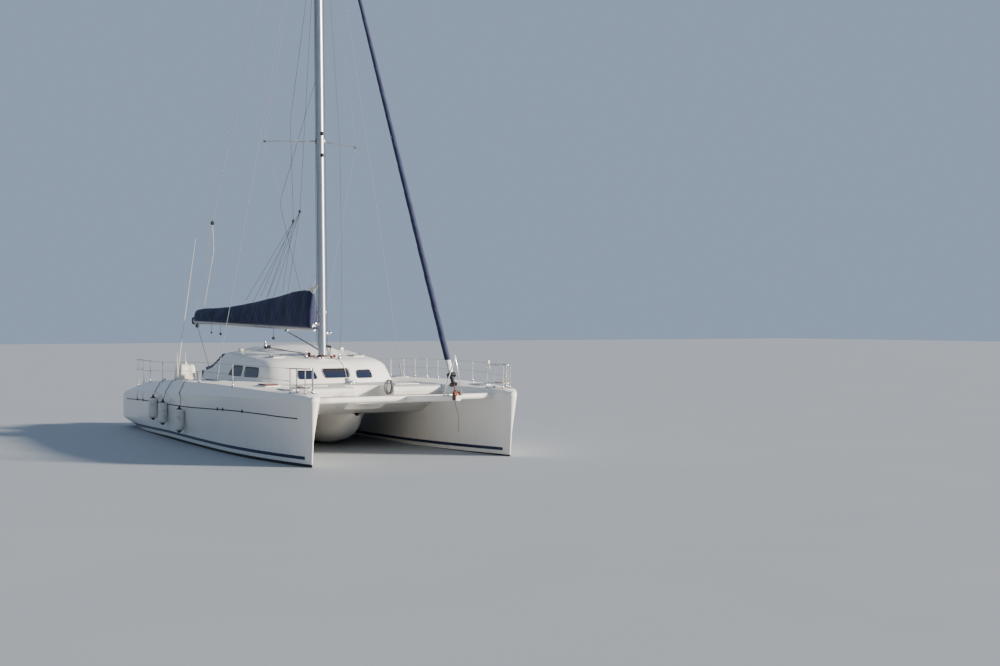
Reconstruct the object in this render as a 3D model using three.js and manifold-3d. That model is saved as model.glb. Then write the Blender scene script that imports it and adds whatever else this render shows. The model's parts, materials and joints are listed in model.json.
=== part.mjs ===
// A cruising catamaran lying afloat: two hulls, a bridgedeck with a central pod, a saloon with a
// cockpit behind it, and a single mast with a furled headsail and a boom under its navy cover.
// Millimetres. +X is forward, +Y is to port, +Z is up. The origin is on the waterline,
// on the centreline, midships.
import * as THREE from "three";
import { mergeVertices } from "three/addons/utils/BufferGeometryUtils.js";
import Module from "manifold-3d";

const wasm = await Module();
wasm.setup();

// Driving dimensions.
const HULL_Y = 2395;
const STERN_X = -6870;
const DECK_CAMBER = 25;
const GAP = 0.4;
const RAIL_R = 13;
const WIRE_R = 4;

const UNDERSIDE_Z = 850;
const BRIDGE_AFT_X = -5350;
const BRIDGE_NOSE_X = 4300;
const NOSE_RECESS = { x: 3500, half: 490 };

const COCKPIT = { aft: -4750, fore: -1150, half: 1480, floor: 1000, seatHalf: 950, seatZ: 1300 };
const SALOON = { aft: -1050, fore: 1750, half: 1400, floor: 1060, wellHalf: 560, wellZ: 480 };
const WALL = 50;

const MAST = { x: 1011.3, footZ: 2172, topZ: 18000, long: 270, wide: 190, rakeDeg: 1.4 };
const HOUNDS_Z = 15700;
const SPREADER_Z = 7670;
const GOOSENECK = { back: 80, z: 2910 };
const BOOM = { length: 5150, yawDeg: 21, riseDeg: 2.1, high: 190, wide: 125, start: 170 };
const SPRIT_TIP = { x: 8400, z: 1440 };

const PAINT = {
  gelcoat: { color: 0xe9e7e1, roughness: 0.35, metalness: 0 },
  deck: { color: 0xdedbd2, roughness: 0.6, metalness: 0 },
  antifoul: { color: 0x2b2a2c, roughness: 0.8, metalness: 0 },
  glass: { color: 0x1b2026, roughness: 0.1, metalness: 0 },
  alloy: { color: 0xa9adb1, roughness: 0.4, metalness: 1 },
  steel: { color: 0xc9ccd0, roughness: 0.2, metalness: 1 },
  bronze: { color: 0x8a6a3a, roughness: 0.4, metalness: 1 },
  canvas: { color: 0x141d3a, roughness: 0.9, metalness: 0 },
  vinyl: { color: 0xe8e6df, roughness: 0.5, metalness: 0 },
  mesh: { color: 0x8d8f90, roughness: 0.9, metalness: 0 },
  black: { color: 0x1a1b1d, roughness: 0.6, metalness: 0 },
};

const rad = THREE.MathUtils.degToRad;
const vec = (x, y, z) => new THREE.Vector3(x, y, z);
const lerp = THREE.MathUtils.lerp;

// Solids and their joins. Corners closer than this are one.
const MERGE = 1e-3;
function bareOf(geometry) {
  const bare = geometry.clone();
  bare.deleteAttribute("normal");
  bare.deleteAttribute("uv");
  return bare;
}

function solidOf(geometry) {
  const merged = mergeVertices(bareOf(geometry), MERGE);
  return new wasm.Manifold(new wasm.Mesh({
    numProp: 3,
    vertProperties: new Float32Array(merged.attributes.position.array),
    triVerts: new Uint32Array(merged.index.array),
  }));
}

function geometryOf(solid) {
  const mesh = solid.getMesh();
  const geometry = new THREE.BufferGeometry();
  geometry.setAttribute("position", new THREE.BufferAttribute(mesh.vertProperties, mesh.numProp));
  geometry.setIndex(new THREE.BufferAttribute(mesh.triVerts, 1));
  return geometry;
}

const join = (...pieces) => geometryOf(pieces.map(solidOf).reduce((whole, next) => whole.add(next)));
const cut = (piece, ...tools) =>
  geometryOf(tools.map(solidOf).reduce((left, tool) => left.subtract(tool), solidOf(piece)));
const common = (a, b) => geometryOf(solidOf(a).intersect(solidOf(b)));

function block(x0, x1, y0, y1, z0, z1) {
  const geometry = new THREE.BoxGeometry(x1 - x0, y1 - y0, z1 - z0);
  return geometry.translate((x0 + x1) / 2, (y0 + y1) / 2, (z0 + z1) / 2);
}

// A straight bar from a to b, round unless its end radii differ.
function bar(a, b, radius, sides = 8, endRadius = radius) {
  const along = b.clone().sub(a);
  const geometry = new THREE.CylinderGeometry(endRadius, radius, along.length(), sides);
  const turn = new THREE.Quaternion().setFromUnitVectors(vec(0, 1, 0), along.clone().normalize());
  return geometry.applyQuaternion(turn).translate(...a.clone().add(b).multiplyScalar(0.5));
}

// A round rail along a path. Each ring is the one before, slid along to the next bend's mitre.
function rail(points, radius, sides = 8) {
  const ways = points.slice(1).map((point, i) => point.clone().sub(points[i]).normalize());
  const side = new THREE.Vector3(0.31, 0.17, 0.94).cross(ways[0]).normalize();
  const up = side.clone().cross(ways[0]);
  const rings = [Array.from({ length: sides }, (_, i) => {
    const turn = (2 * Math.PI * (i + 0.5)) / sides;
    return points[0].clone().addScaledVector(side, radius * Math.cos(turn))
      .addScaledVector(up, radius * Math.sin(turn));
  })];
  ways.forEach((way, i) => {
    const mitre = way.clone().add(ways[Math.min(i + 1, ways.length - 1)]);
    rings.push(rings[i].map((corner) => {
      const reach = points[i + 1].clone().sub(corner).dot(mitre) / way.dot(mitre);
      return corner.clone().addScaledVector(way, reach);
    }));
  });
  return loft(rings);
}

// A closed skin through rings of equally many points, with flat ends. Each face is split along
// its shorter diagonal, so that the two sides of the boat come out alike.
function loft(rings) {
  const count = rings[0].length;
  const points = rings.flat();
  const faces = [];
  for (let r = 0; r + 1 < rings.length; r += 1) {
    for (let i = 0; i < count; i += 1) {
      const j = (i + 1) % count;
      const [a, b, c, d] = [r * count + i, r * count + j, (r + 1) * count + j, (r + 1) * count + i];
      const straight = points[a].distanceTo(points[c]) <= points[b].distanceTo(points[d]);
      faces.push(...(straight ? [a, b, c, a, c, d] : [a, b, d, b, c, d]));
    }
  }
  for (const end of [0, rings.length - 1]) {
    const centre = points.length;
    points.push(rings[end].reduce((sum, p) => sum.clone().add(p), vec(0, 0, 0)).divideScalar(count));
    for (let i = 0; i < count; i += 1) {
      const [a, b] = [end * count + i, end * count + ((i + 1) % count)];
      faces.push(...(end === 0 ? [centre, b, a] : [centre, a, b]));
    }
  }
  const volume = faces.reduce((sum, _, k) => (k % 3 ? sum : sum + points[faces[k]].clone()
    .dot(points[faces[k + 1]].clone().cross(points[faces[k + 2]]))), 0);
  if (volume < 0) faces.reverse();
  const geometry = new THREE.BufferGeometry();
  geometry.setAttribute("position", new THREE.Float32BufferAttribute(points.flatMap((p) => [...p]), 3));
  geometry.setIndex(faces);
  return geometry;
}

// An outline of (x, z) points, given a width from y0 to y1.
function slabXZ(outline, y0, y1) {
  const shape = new THREE.Shape(outline.map(([x, z]) => new THREE.Vector2(x, z)));
  const geometry = new THREE.ExtrudeGeometry(shape, { depth: y1 - y0, bevelEnabled: false });
  return geometry.rotateX(Math.PI / 2).translate(0, y1, 0);
}

// An outline of (x, y) points, given a height from z0 to z1.
function slabXY(outline, z0, z1) {
  const shape = new THREE.Shape(outline.map(([x, y]) => new THREE.Vector2(x, y)));
  const geometry = new THREE.ExtrudeGeometry(shape, { depth: z1 - z0, bevelEnabled: false });
  return geometry.translate(0, 0, z0);
}

// An outline of (y, z) points, given a length from x0 to x1.
function slabYZ(outline, x0, x1) {
  const shape = new THREE.Shape(outline.map(([y, z]) => new THREE.Vector2(y, z)));
  const geometry = new THREE.ExtrudeGeometry(shape, { depth: x1 - x0, bevelEnabled: false });
  const turn = new THREE.Matrix4().makeBasis(vec(0, 1, 0), vec(0, 0, 1), vec(1, 0, 0));
  return geometry.applyMatrix4(turn).translate(x0, 0, 0);
}

// The four corners of a window, each rounded with three points.
function rounded(corners, radius) {
  const soft = [];
  corners.forEach((corner, i) => {
    const here = new THREE.Vector2(...corner);
    const before = new THREE.Vector2(...corners[(i + corners.length - 1) % corners.length]);
    const after = new THREE.Vector2(...corners[(i + 1) % corners.length]);
    const start = here.clone().add(before.clone().sub(here).setLength(radius));
    const end = here.clone().add(after.clone().sub(here).setLength(radius));
    const middle = start.clone().add(end).multiplyScalar(0.2).add(here.clone().multiplyScalar(0.6));
    for (const p of [start, middle, end]) soft.push([p.x, p.y]);
  });
  return soft;
}

const group = new THREE.Group();
function add(name, geometry, paint) {
  const mesh = new THREE.Mesh(geometry, new THREE.MeshStandardMaterial(PAINT[paint]));
  mesh.name = name;
  group.add(mesh);
  return mesh;
}

// The mirror of a starboard piece, for the port side.
function mirrored(geometry) {
  const other = mergeVertices(bareOf(geometry), MERGE);
  other.scale(1, -1, 1);
  other.setIndex([...other.index.array].reverse());
  return other;
}

function addPair(name, starboard, paint) {
  add(`${name}_starboard`, starboard, paint);
  add(`${name}_port`, mirrored(starboard), paint);
}

// Hulls. Each section is a half ellipse below, a flat topside, a chamfer and a cambered deck.
const HULL_COLUMNS = [
  "x", "lean", "keelZ", "bilgeHalf", "bilgeZ", "sheerHalf", "sheerZ", "deckHalf", "deckZ",
];
const HULL_STATIONS = [
  [-6870, 0, 150, 725, 300, 735, 885, 700, 905],
  [-6600, 0, 80, 735, 300, 765, 990, 705, 1022],
  [-6140, 0, -20, 735, 310, 775, 1080, 670, 1125],
  [-5300, 0, -200, 740, 330, 790, 1115, 610, 1275],
  [-4400, 0, -370, 745, 340, 795, 1150, 600, 1395],
  [-2200, 0, -580, 745, 350, 800, 1215, 610, 1500],
  [0, 0, -620, 740, 350, 800, 1270, 625, 1560],
  [2200, 0, -610, 700, 360, 780, 1325, 635, 1585],
  [3900, 0.01, -560, 560, 400, 690, 1370, 590, 1575],
  [5100, 0.03, -480, 360, 450, 520, 1400, 450, 1550],
  [5900, 0.06, -370, 180, 500, 330, 1425, 285, 1530],
  [6270, 0.09, -220, 75, 520, 205, 1435, 170, 1515],
  [6430, 0.1, -90, 18, 540, 95, 1400, 70, 1470],
].map((row) => Object.fromEntries(HULL_COLUMNS.map((name, i) => [name, row[i]])));
const BILGE_STEPS = 5;

function hullRing(station, grow) {
  const half = [];
  for (let i = 0; i <= BILGE_STEPS; i += 1) {
    const turn = (Math.PI / 2) * (i / BILGE_STEPS);
    const drop = station.bilgeZ - station.keelZ + grow;
    half.push([(station.bilgeHalf + grow) * Math.sin(turn), station.bilgeZ - drop * Math.cos(turn)]);
  }
  half.push([station.sheerHalf + grow, station.sheerZ]);
  half.push([station.deckHalf + grow, station.deckZ + grow]);
  half.push([0, station.deckZ + DECK_CAMBER + grow]);
  const other = half.slice(1, -1).reverse().map(([y, z]) => [-y, z]);
  return [...half, ...other].map(([y, z]) => vec(station.x + station.lean * z, y - HULL_Y, z));
}

const hullSkin = (grow = 0) => loft(HULL_STATIONS.map((station) => hullRing(station, grow)));

// The height of the deck's edge at a given x, from the stations.
function deckZ(x) {
  const next = HULL_STATIONS.findIndex((station) => station.x >= x);
  const [a, b] = [HULL_STATIONS[Math.max(next - 1, 0)], HULL_STATIONS[Math.max(next, 1)]];
  return lerp(a.deckZ, b.deckZ, (x - a.x) / (b.x - a.x));
}

// Three steps down to the water are let into each stern, between its side walls.
const STEPS = [
  // from the stern to this x, floor height
  { x: -5750, z: 905 },
  { x: -6100, z: 660 },
  { x: -6450, z: 430 },
];
const STEP_HALF = 470;

const stepTools = STEPS.map((step) =>
  block(STERN_X - 50, step.x, -HULL_Y - STEP_HALF, -HULL_Y + STEP_HALF, step.z, 1600));

const RUDDER = { x: -5000, stockR: 30, boreR: 30.7, boreTop: 250 };
const LEG = { x: -3900, wide: 90, long: 260 };
const onRudderStock = (z) => vec(RUDDER.x, -HULL_Y, z);
const rudderBore = bar(onRudderStock(-700), onRudderStock(RUDDER.boreTop), RUDDER.boreR, 24);
const hullStarboard = cut(hullSkin(), ...stepTools, rudderBore);
addPair("hull", hullStarboard, "gelcoat");

// A foil from a leading to a trailing edge, at one height.
const FOIL = [
  // along the chord, half thickness, both as shares
  [0, 0], [0.03, 0.35], [0.12, 0.75], [0.3, 1], [0.55, 0.85], [0.8, 0.4], [1, 0.06],
];
function foilRing(lead, chord, thick, y, z) {
  const upper = FOIL.map(([s, t]) => vec(lead - chord * s, y + (thick / 2) * t, z));
  const lower = FOIL.slice(1).reverse().map(([s, t]) => vec(lead - chord * s, y - (thick / 2) * t, z));
  return [...upper, ...lower];
}

// Stub keels, rudders and drive legs, all under the canoe bodies.
const keel = cut(loft([
  foilRing(1750, 3100, 330, -HULL_Y, -350),
  foilRing(1650, 2900, 300, -HULL_Y, -750),
  foilRing(1400, 2350, 240, -HULL_Y, -1320),
]), hullSkin(GAP));
addPair("keel", keel, "antifoul");

const rudder = join(
  loft([
    foilRing(RUDDER.x + 150, 560, 85, -HULL_Y, -335),
    foilRing(RUDDER.x + 130, 480, 70, -HULL_Y, -1130),
  ]),
  bar(onRudderStock(-420), onRudderStock(RUDDER.boreTop - 20), RUDDER.stockR, 24),
);
addPair("rudder", rudder, "antifoul");

const PROPELLER = { x: LEG.x - 330, z: -760, r: 215, hubR: 42, shaftR: 14 };
const driveLeg = cut(join(
  loft([
    foilRing(LEG.x + LEG.long / 2, LEG.long, LEG.wide, -HULL_Y, -300),
    foilRing(LEG.x + LEG.long / 2, LEG.long, LEG.wide, -HULL_Y, PROPELLER.z - 40),
  ]),
  bar(vec(LEG.x + 190, -HULL_Y, PROPELLER.z), vec(LEG.x - 260, -HULL_Y, PROPELLER.z), 62, 14, 48),
  bar(vec(LEG.x - 200, -HULL_Y, PROPELLER.z), vec(LEG.x - 362, -HULL_Y, PROPELLER.z), PROPELLER.shaftR, 12),
), hullSkin(GAP));
addPair("drive_leg", driveLeg, "black");

function propellerAt(y) {
  const hub = bar(vec(PROPELLER.x + 55, y, PROPELLER.z), vec(PROPELLER.x - 60, y, PROPELLER.z),
    PROPELLER.hubR, 16, PROPELLER.hubR - 8);
  const blades = [0, 1, 2].map((i) => {
    const outline = [[-22, 20], [-58, 110], [-50, 180], [-10, PROPELLER.r], [35, 175], [50, 110], [24, 20]];
    return slabXZ(outline, -5, 5).rotateZ(rad(62)).rotateX(rad(120 * i))
      .translate(PROPELLER.x, y, PROPELLER.z);
  });
  const bore = bar(vec(PROPELLER.x + 90, y, PROPELLER.z), vec(PROPELLER.x - 45, y, PROPELLER.z),
    PROPELLER.shaftR + 0.7, 12);
  return cut(join(hub, ...blades), bore);
}
add("propeller_starboard", propellerAt(-HULL_Y), "bronze");
add("propeller_port", propellerAt(HULL_Y), "bronze");

// Bridgedeck: a slab a little lower than the hulls' decks, with a raked front and the pod below.
const BRIDGE_TOP = [
  // x, height
  [BRIDGE_AFT_X, 1266], [-5300, 1275], [-4400, 1395], [-2200, 1500], [0, 1543], [1500, 1550],
  [3900, 1550], [4120, 1557],
];
function bridgeTop(x) {
  const next = BRIDGE_TOP.findIndex((point) => point[0] >= x);
  const [a, b] = [BRIDGE_TOP[Math.max(next - 1, 0)], BRIDGE_TOP[Math.max(next, 1)]];
  return lerp(a[1], b[1], (x - a[0]) / (b[0] - a[0]));
}
function bridgeSlab(grow) {
  const outline = [
    [BRIDGE_AFT_X, 930], ...BRIDGE_TOP.map(([x, z]) => [x, z + grow]),
    [4240, 1528], [BRIDGE_NOSE_X, 1445], [4280, 1350], [4180, 1280],
    [3250, 880], [3000, UNDERSIDE_Z], [-4900, UNDERSIDE_Z],
  ];
  return slabXZ(outline, -HULL_Y, HULL_Y);
}

const POD_STATIONS = [
  // x, bottomZ, half width
  { x: 3230, bottomZ: 805, half: 60 },
  { x: 2950, bottomZ: 600, half: 230 },
  { x: 2570, bottomZ: 335, half: 370 },
  { x: 1990, bottomZ: 120, half: 520 },
  { x: 1220, bottomZ: 30, half: 620 },
  { x: -800, bottomZ: 40, half: 660 },
  { x: -2400, bottomZ: 230, half: 600 },
  { x: -3600, bottomZ: 600, half: 440 },
  { x: -4200, bottomZ: 830, half: 250 },
];
const podSkin = loft(POD_STATIONS.map(({ x, bottomZ, half }) => {
  const ring = [[half + 120, 900], [half, bottomZ + (900 - bottomZ) * 0.45]];
  for (const turnDeg of [25, 50, 75]) {
    const turn = rad(turnDeg);
    ring.push([half * Math.cos(turn), bottomZ + (900 - bottomZ) * 0.45 * (1 - Math.sin(turn))]);
  }
  const other = ring.slice().reverse().map(([y, z]) => [-y, z]);
  return [...ring, ...other].map(([y, z]) => vec(x, y, z));
}));

// The door slides to port, into a slot between the bench and the bulkhead.
const DOOR = { half: 380, sill: 1012, top: 2120, thick: 36, slotLong: 60, slotEnd: 1260 };
const cockpitTools = [
  block(COCKPIT.aft, COCKPIT.fore, -COCKPIT.half, COCKPIT.half, COCKPIT.seatZ, 2000),
  block(COCKPIT.aft + 350, COCKPIT.fore, -COCKPIT.seatHalf, COCKPIT.seatHalf, COCKPIT.floor, 1400),
  block(COCKPIT.fore - DOOR.slotLong, COCKPIT.fore, 0, DOOR.slotEnd, COCKPIT.floor, 1400),
];
const saloonTools = [
  block(SALOON.aft, SALOON.fore, -SALOON.half, SALOON.half, SALOON.floor, 2000),
  block(SALOON.aft + 150, SALOON.fore - 250, -SALOON.wellHalf, SALOON.wellHalf, SALOON.wellZ, 1100),
  block(COCKPIT.fore - 20, SALOON.aft + 20, -DOOR.half, DOOR.half, SALOON.floor, 2000),
];
const recessTool = slabXY(rounded([
  [NOSE_RECESS.x, -NOSE_RECESS.half], [NOSE_RECESS.x + 1500, -NOSE_RECESS.half],
  [NOSE_RECESS.x + 1500, NOSE_RECESS.half], [NOSE_RECESS.x, NOSE_RECESS.half],
], 160), 700, 2000);
const bothHulls = (grow) => join(hullSkin(grow), mirrored(hullSkin(grow)));

// Lids let into the foredeck, and the lockers under them.
const LID = { fore: 3560, aft: 2960, y0: 880, y1: 1500, thick: 24, coaming: 30 };
const lockerTool = block(LID.aft + LID.coaming, LID.fore - LID.coaming, -LID.y1 + LID.coaming,
  -LID.y0 - LID.coaming, 1180, 2000);
const bridgedeck = cut(join(bridgeSlab(0), podSkin), bothHulls(GAP), ...cockpitTools, ...saloonTools,
  recessTool, lockerTool, mirrored(lockerTool));
add("bridgedeck", bridgedeck, "deck");

// Saloon top. Rings of one plan shape, from the deck to the crown, each tilted down forward.
const CABIN_RINGS = [
  // aft x, side's fore end x, front x, half width aft, half width fore, z aft, z at the front
  { aft: -2350, side: 1250, front: 2300, halfAft: 2181, halfFore: 1880, zAft: 1300, zFront: 1300 },
  { aft: -2330, side: 1150, front: 1990, halfAft: 2055, halfFore: 1724, zAft: 1740, zFront: 1740 },
  { aft: -1860, side: 1120, front: 1890, halfAft: 1979, halfFore: 1685, zAft: 1850, zFront: 1850 },
  { aft: -1370, side: 1080, front: 1835, halfAft: 1836, halfFore: 1645, zAft: 2160, zFront: 1905 },
  { aft: -1330, side: 1040, front: 1755, halfAft: 1780, halfFore: 1570, zAft: 2225, zFront: 1985 },
  { aft: -1280, side: 985, front: 1645, halfAft: 1685, halfFore: 1465, zAft: 2268, zFront: 2055 },
  { aft: -1190, side: 870, front: 1470, halfAft: 1435, halfFore: 1240, zAft: 2300, zFront: 2112 },
  { aft: -700, side: 500, front: 1000, halfAft: 500, halfFore: 400, zAft: 2330, zFront: 2140 },
];
const FRONT_STEPS = 7;
const FRONT_POWER = 2 / 2.3;

function cabinRing(ring, inset) {
  const [aft, front] = [ring.aft + inset, ring.front - inset];
  const half = [[aft, ring.halfAft - inset]];
  for (let i = 0; i <= FRONT_STEPS; i += 1) {
    const turn = (Math.PI / 2) * (i / FRONT_STEPS);
    half.push([
      ring.side + (front - ring.side) * Math.sin(turn) ** FRONT_POWER,
      (ring.halfFore - inset) * Math.max(Math.cos(turn), 0) ** FRONT_POWER,
    ]);
  }
  half[half.length - 1][1] = 0;
  const other = half.slice(0, -1).reverse().map(([x, y]) => [x, -y]);
  return [...half, ...other].map(([x, y]) =>
    vec(x, y, lerp(ring.zAft, ring.zFront, (x - ring.aft) / (ring.front - ring.aft)) - inset));
}

const cabinSkin = (inset) => loft(CABIN_RINGS.map((ring, i) =>
  cabinRing({ ...ring, zAft: ring.zAft + (i === 0 ? inset : 0), zFront: ring.zFront + (i === 0 ? inset : 0) },
    inset)));

// The raised crown, wide aft and narrow at the mast, and the pad that the mast stands on.
const CROWN_FLOOR_Z = 2100;
const CROWN = [
  // x, half width, heights of its edge, its shoulder and its middle
  { x: -1320, half: 1290, edgeZ: 2325, shoulderZ: 2415, topZ: 2462 },
  { x: -600, half: 1040, edgeZ: 2316, shoulderZ: 2380, topZ: 2434 },
  { x: 300, half: 740, edgeZ: 2225, shoulderZ: 2270, topZ: 2325 },
  { x: 850, half: 540, edgeZ: 2162, shoulderZ: 2170, topZ: 2174 },
  { x: 1180, half: 420, edgeZ: 2134, shoulderZ: 2144, topZ: 2148 },
  { x: 1500, half: 300, edgeZ: 2103, shoulderZ: 2108, topZ: 2110 },
];
const CROWN_BEVEL = 0.76;
const crown = loft(CROWN.map(({ x, half, edgeZ, shoulderZ, topZ }) => {
  const side = [[half, CROWN_FLOOR_Z], [half, edgeZ], [half * CROWN_BEVEL, shoulderZ],
    [(half * CROWN_BEVEL) / 2, (shoulderZ + 3 * topZ) / 4]];
  const other = side.slice().reverse().map(([y, z]) => [-y, z]);
  return [...side, [0, topZ], ...other].map(([y, z]) => vec(x, y, z));
}));
const mastPad = block(MAST.x - 210, MAST.x + 210, -170, 170, 2110, MAST.footZ - 2);

const SIDE_WINDOWS = [
  // name, then corners as x, z
  { name: "aft", corners: [[-680, 1702], [80, 1695], [30, 1933], [-505, 1931]] },
  { name: "fore", corners: [[305, 1690], [1110, 1694], [985, 1912], [232, 1917]] },
];
const FRONT_WINDOWS = [
  // name, then corners as y, z, seen from ahead
  { name: "starboard", corners: [[-978, 1664], [-528, 1666], [-570, 1848], [-968, 1858]] },
  { name: "centre", corners: [[-325, 1686], [325, 1686], [345, 1895], [-345, 1895]] },
  { name: "port", corners: [[528, 1666], [978, 1664], [968, 1858], [570, 1848]] },
];
const WINDOW_RADIUS = 60;
const PANE = { set: 8, thick: 12, share: 0.995 };

// A window's outline about its own middle, at a share of its size.
function windowOutline(corners, share) {
  const middle = corners.reduce(([x, y], [a, b]) => [x + a / 4, y + b / 4], [0, 0]);
  return rounded(corners, WINDOW_RADIUS)
    .map(([a, b]) => [lerp(middle[0], a, share), lerp(middle[1], b, share)]);
}
const sideTool = (corners, share) => slabXZ(windowOutline(corners, share), -2600, -1200);
const frontTool = (corners, share) => slabYZ(windowOutline(corners, share), 1300, 2600);

const windowTools = [
  ...SIDE_WINDOWS.flatMap(({ corners }) => [sideTool(corners, 1), mirrored(sideTool(corners, 1))]),
  ...FRONT_WINDOWS.map(({ corners }) => frontTool(corners, 1)),
];
const ROOF_LIP_Z = 2175;
const insideTool = common(cabinSkin(WALL), block(SALOON.aft - WALL, 3000, -3000, 3000, 1000, 3000));
const wingTool = block(-3100, COCKPIT.fore, -1560, 1560, 1000, ROOF_LIP_Z);
const doorTool = block(COCKPIT.fore - 20, SALOON.aft + 20, -DOOR.half, DOOR.half, 1000, DOOR.top);

// Roof hatches: a coaming is cut through the roof and a lid lies over it.
const HATCH = { x: 680, y: 1090, z: 2183, size: 300, hole: 110, thick: 16, lift: 0.4 };
const hatchSlope = Math.atan((2300 - 2112) / (1190 + 1470));
const hatchFrame = new THREE.Matrix4().makeRotationY(hatchSlope).setPosition(HATCH.x, -HATCH.y, HATCH.z);
const hatchHole = block(-HATCH.hole, HATCH.hole, -HATCH.hole, HATCH.hole, -200, 200)
  .applyMatrix4(hatchFrame);
const hatchRim = block(-HATCH.size / 2, HATCH.size / 2, -HATCH.size / 2, HATCH.size / 2, -60, 12)
  .applyMatrix4(hatchFrame);

const coachroof = cut(
  join(cabinSkin(0), crown, mastPad, hatchRim, mirrored(hatchRim)),
  insideTool, wingTool, doorTool, ...windowTools, hatchHole, mirrored(hatchHole),
  bothHulls(GAP), bridgeSlab(GAP),
);
add("coachroof", coachroof, "gelcoat");

const paneShell = cut(cabinSkin(PANE.set), cabinSkin(PANE.set + PANE.thick));
for (const { name, corners } of SIDE_WINDOWS) {
  addPair(`window_side_${name}`, common(paneShell, sideTool(corners, PANE.share)), "glass");
}
for (const { name, corners } of FRONT_WINDOWS) {
  add(`window_front_${name}`, common(paneShell, frontTool(corners, PANE.share)), "glass");
}

const hatchLid = join(
  block(-HATCH.size / 2 - 8, HATCH.size / 2 + 8, -HATCH.size / 2 - 8, HATCH.size / 2 + 8,
    12 + HATCH.lift, 12 + HATCH.lift + HATCH.thick),
  bar(vec(-HATCH.size / 2 - 20, -100, 22), vec(-HATCH.size / 2 - 20, 100, 22), 8, 12),
  block(-HATCH.size / 2 - 20, -HATCH.size / 2, -100, 100, 17, 26),
).applyMatrix4(hatchFrame);
addPair("roof_hatch", hatchLid, "black");

// The saloon's sliding door runs on two shoes along the cockpit sole.
const doorX = COCKPIT.fore - 6;
const door = join(
  block(doorX - DOOR.thick, doorX, -DOOR.half - 40, DOOR.half + 40, DOOR.sill, DOOR.top + 30),
  block(doorX - DOOR.thick, doorX, -DOOR.half, -DOOR.half + 80, COCKPIT.floor + 0.5, DOOR.sill + 5),
  block(doorX - DOOR.thick, doorX, DOOR.half - 80, DOOR.half, COCKPIT.floor + 0.5, DOOR.sill + 5),
);
add("saloon_door", door, "glass");

// Lids of the foredeck lockers, each hinged along its fore edge.
const lidTop = (x) => bridgeTop(x) + GAP;
const lidRise = (lidTop(LID.fore) - lidTop(LID.aft)) / (LID.fore - LID.aft);
const lockerLid = join(
  loft([LID.aft, LID.fore].map((x) => [[-LID.y1, 0], [-LID.y0, 0], [-LID.y0, LID.thick], [-LID.y1, LID.thick]]
    .map(([y, up]) => vec(x, y, lidTop(LID.aft) + lidRise * (x - LID.aft) + up)))),
  bar(vec(LID.fore + 5, -LID.y1 + 60, lidTop(LID.fore) + 12), vec(LID.fore + 5, -LID.y0 - 60,
    lidTop(LID.fore) + 12), 11, 12),
);
addPair("foredeck_lid", cut(lockerLid, bridgeSlab(GAP)), "deck");

// Spars. Everything on the mast shares its rake.
const rake = Math.tan(rad(MAST.rakeDeg));
const mastX = (z) => MAST.x - (z - MAST.footZ) * rake;
function mastRing(z, grow) {
  const ring = [];
  for (let i = 0; i < 16; i += 1) {
    const turn = (2 * Math.PI * i) / 16;
    const [along, across] = [MAST.long / 2 + grow, MAST.wide / 2 + grow];
    ring.push(vec(mastX(z) + along * Math.cos(turn), across * Math.sin(turn), z));
  }
  return ring;
}
const mastSkin = (grow = 0) => loft([mastRing(MAST.footZ - grow, grow), mastRing(MAST.topZ + grow, grow)]);
const crane = block(mastX(MAST.topZ) - 215, mastX(MAST.topZ) + 120, -20, 20, MAST.topZ - 140, MAST.topZ + 25);
add("mast", join(mastSkin(), crane), "alloy");

const SPREADER = { tipX: 220, tipY: 1270, long: 120, thick: 36 };
function spreaderRing(share, y) {
  const x = lerp(mastX(SPREADER_Z), SPREADER.tipX, share);
  const ring = [];
  for (let i = 0; i < 10; i += 1) {
    const turn = (2 * Math.PI * i) / 10;
    const half = lerp(1, 0.6, share) / 2;
    const rise = SPREADER.thick * half * Math.sin(turn);
    ring.push(vec(x + SPREADER.long * half * Math.cos(turn), y, SPREADER_Z + rise));
  }
  return ring;
}
const spreader = cut(loft([spreaderRing(0, 0), spreaderRing(1, -SPREADER.tipY)]), mastSkin(GAP));
addPair("spreader", spreader, "alloy");

// Main stays: a cap shroud each side, and the forestay inside the furled headsail.
const CHAINPLATE = { x: 340, y: -2555, z: 1590 };
const SHROUD = [
  // share of the way up, radius: a bottle screw at the foot, then the wire
  [0, 15], [0.028, 15], [0.032, 6], [1, 6],
];
const shroudTop = vec(mastX(HOUNDS_Z), -60, HOUNDS_Z);
const shroudFoot = vec(CHAINPLATE.x, CHAINPLATE.y, CHAINPLATE.z - 60);
const shroud = cut(loft(SHROUD.map(([up, r]) => Array.from({ length: 8 }, (_, i) => {
  const turn = (2 * Math.PI * (i + 0.5)) / 8;
  return shroudFoot.clone().lerp(shroudTop, up).add(vec(r * Math.cos(turn), r * Math.sin(turn), 0));
}))), mastSkin(GAP), hullSkin(GAP));
addPair("shroud", shroud, "steel");

const stayFoot = vec(SPRIT_TIP.x, 0, SPRIT_TIP.z + 75);
const stayTop = vec(mastX(HOUNDS_Z) + 60, 0, HOUNDS_Z);
const onStay = (z) => stayFoot.clone().lerp(stayTop, (z - stayFoot.z) / (stayTop.z - stayFoot.z));
const STAY = { fromZ: 1576.8, toZ: 1790, r: 13, headZ: 15110, headR: 11 };
add("forestay_foot", bar(onStay(STAY.fromZ), onStay(STAY.toZ), STAY.r, 12), "steel");
add("forestay_head", cut(bar(onStay(STAY.headZ + GAP), stayTop, STAY.headR, 10), mastSkin(GAP)), "steel");

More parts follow.
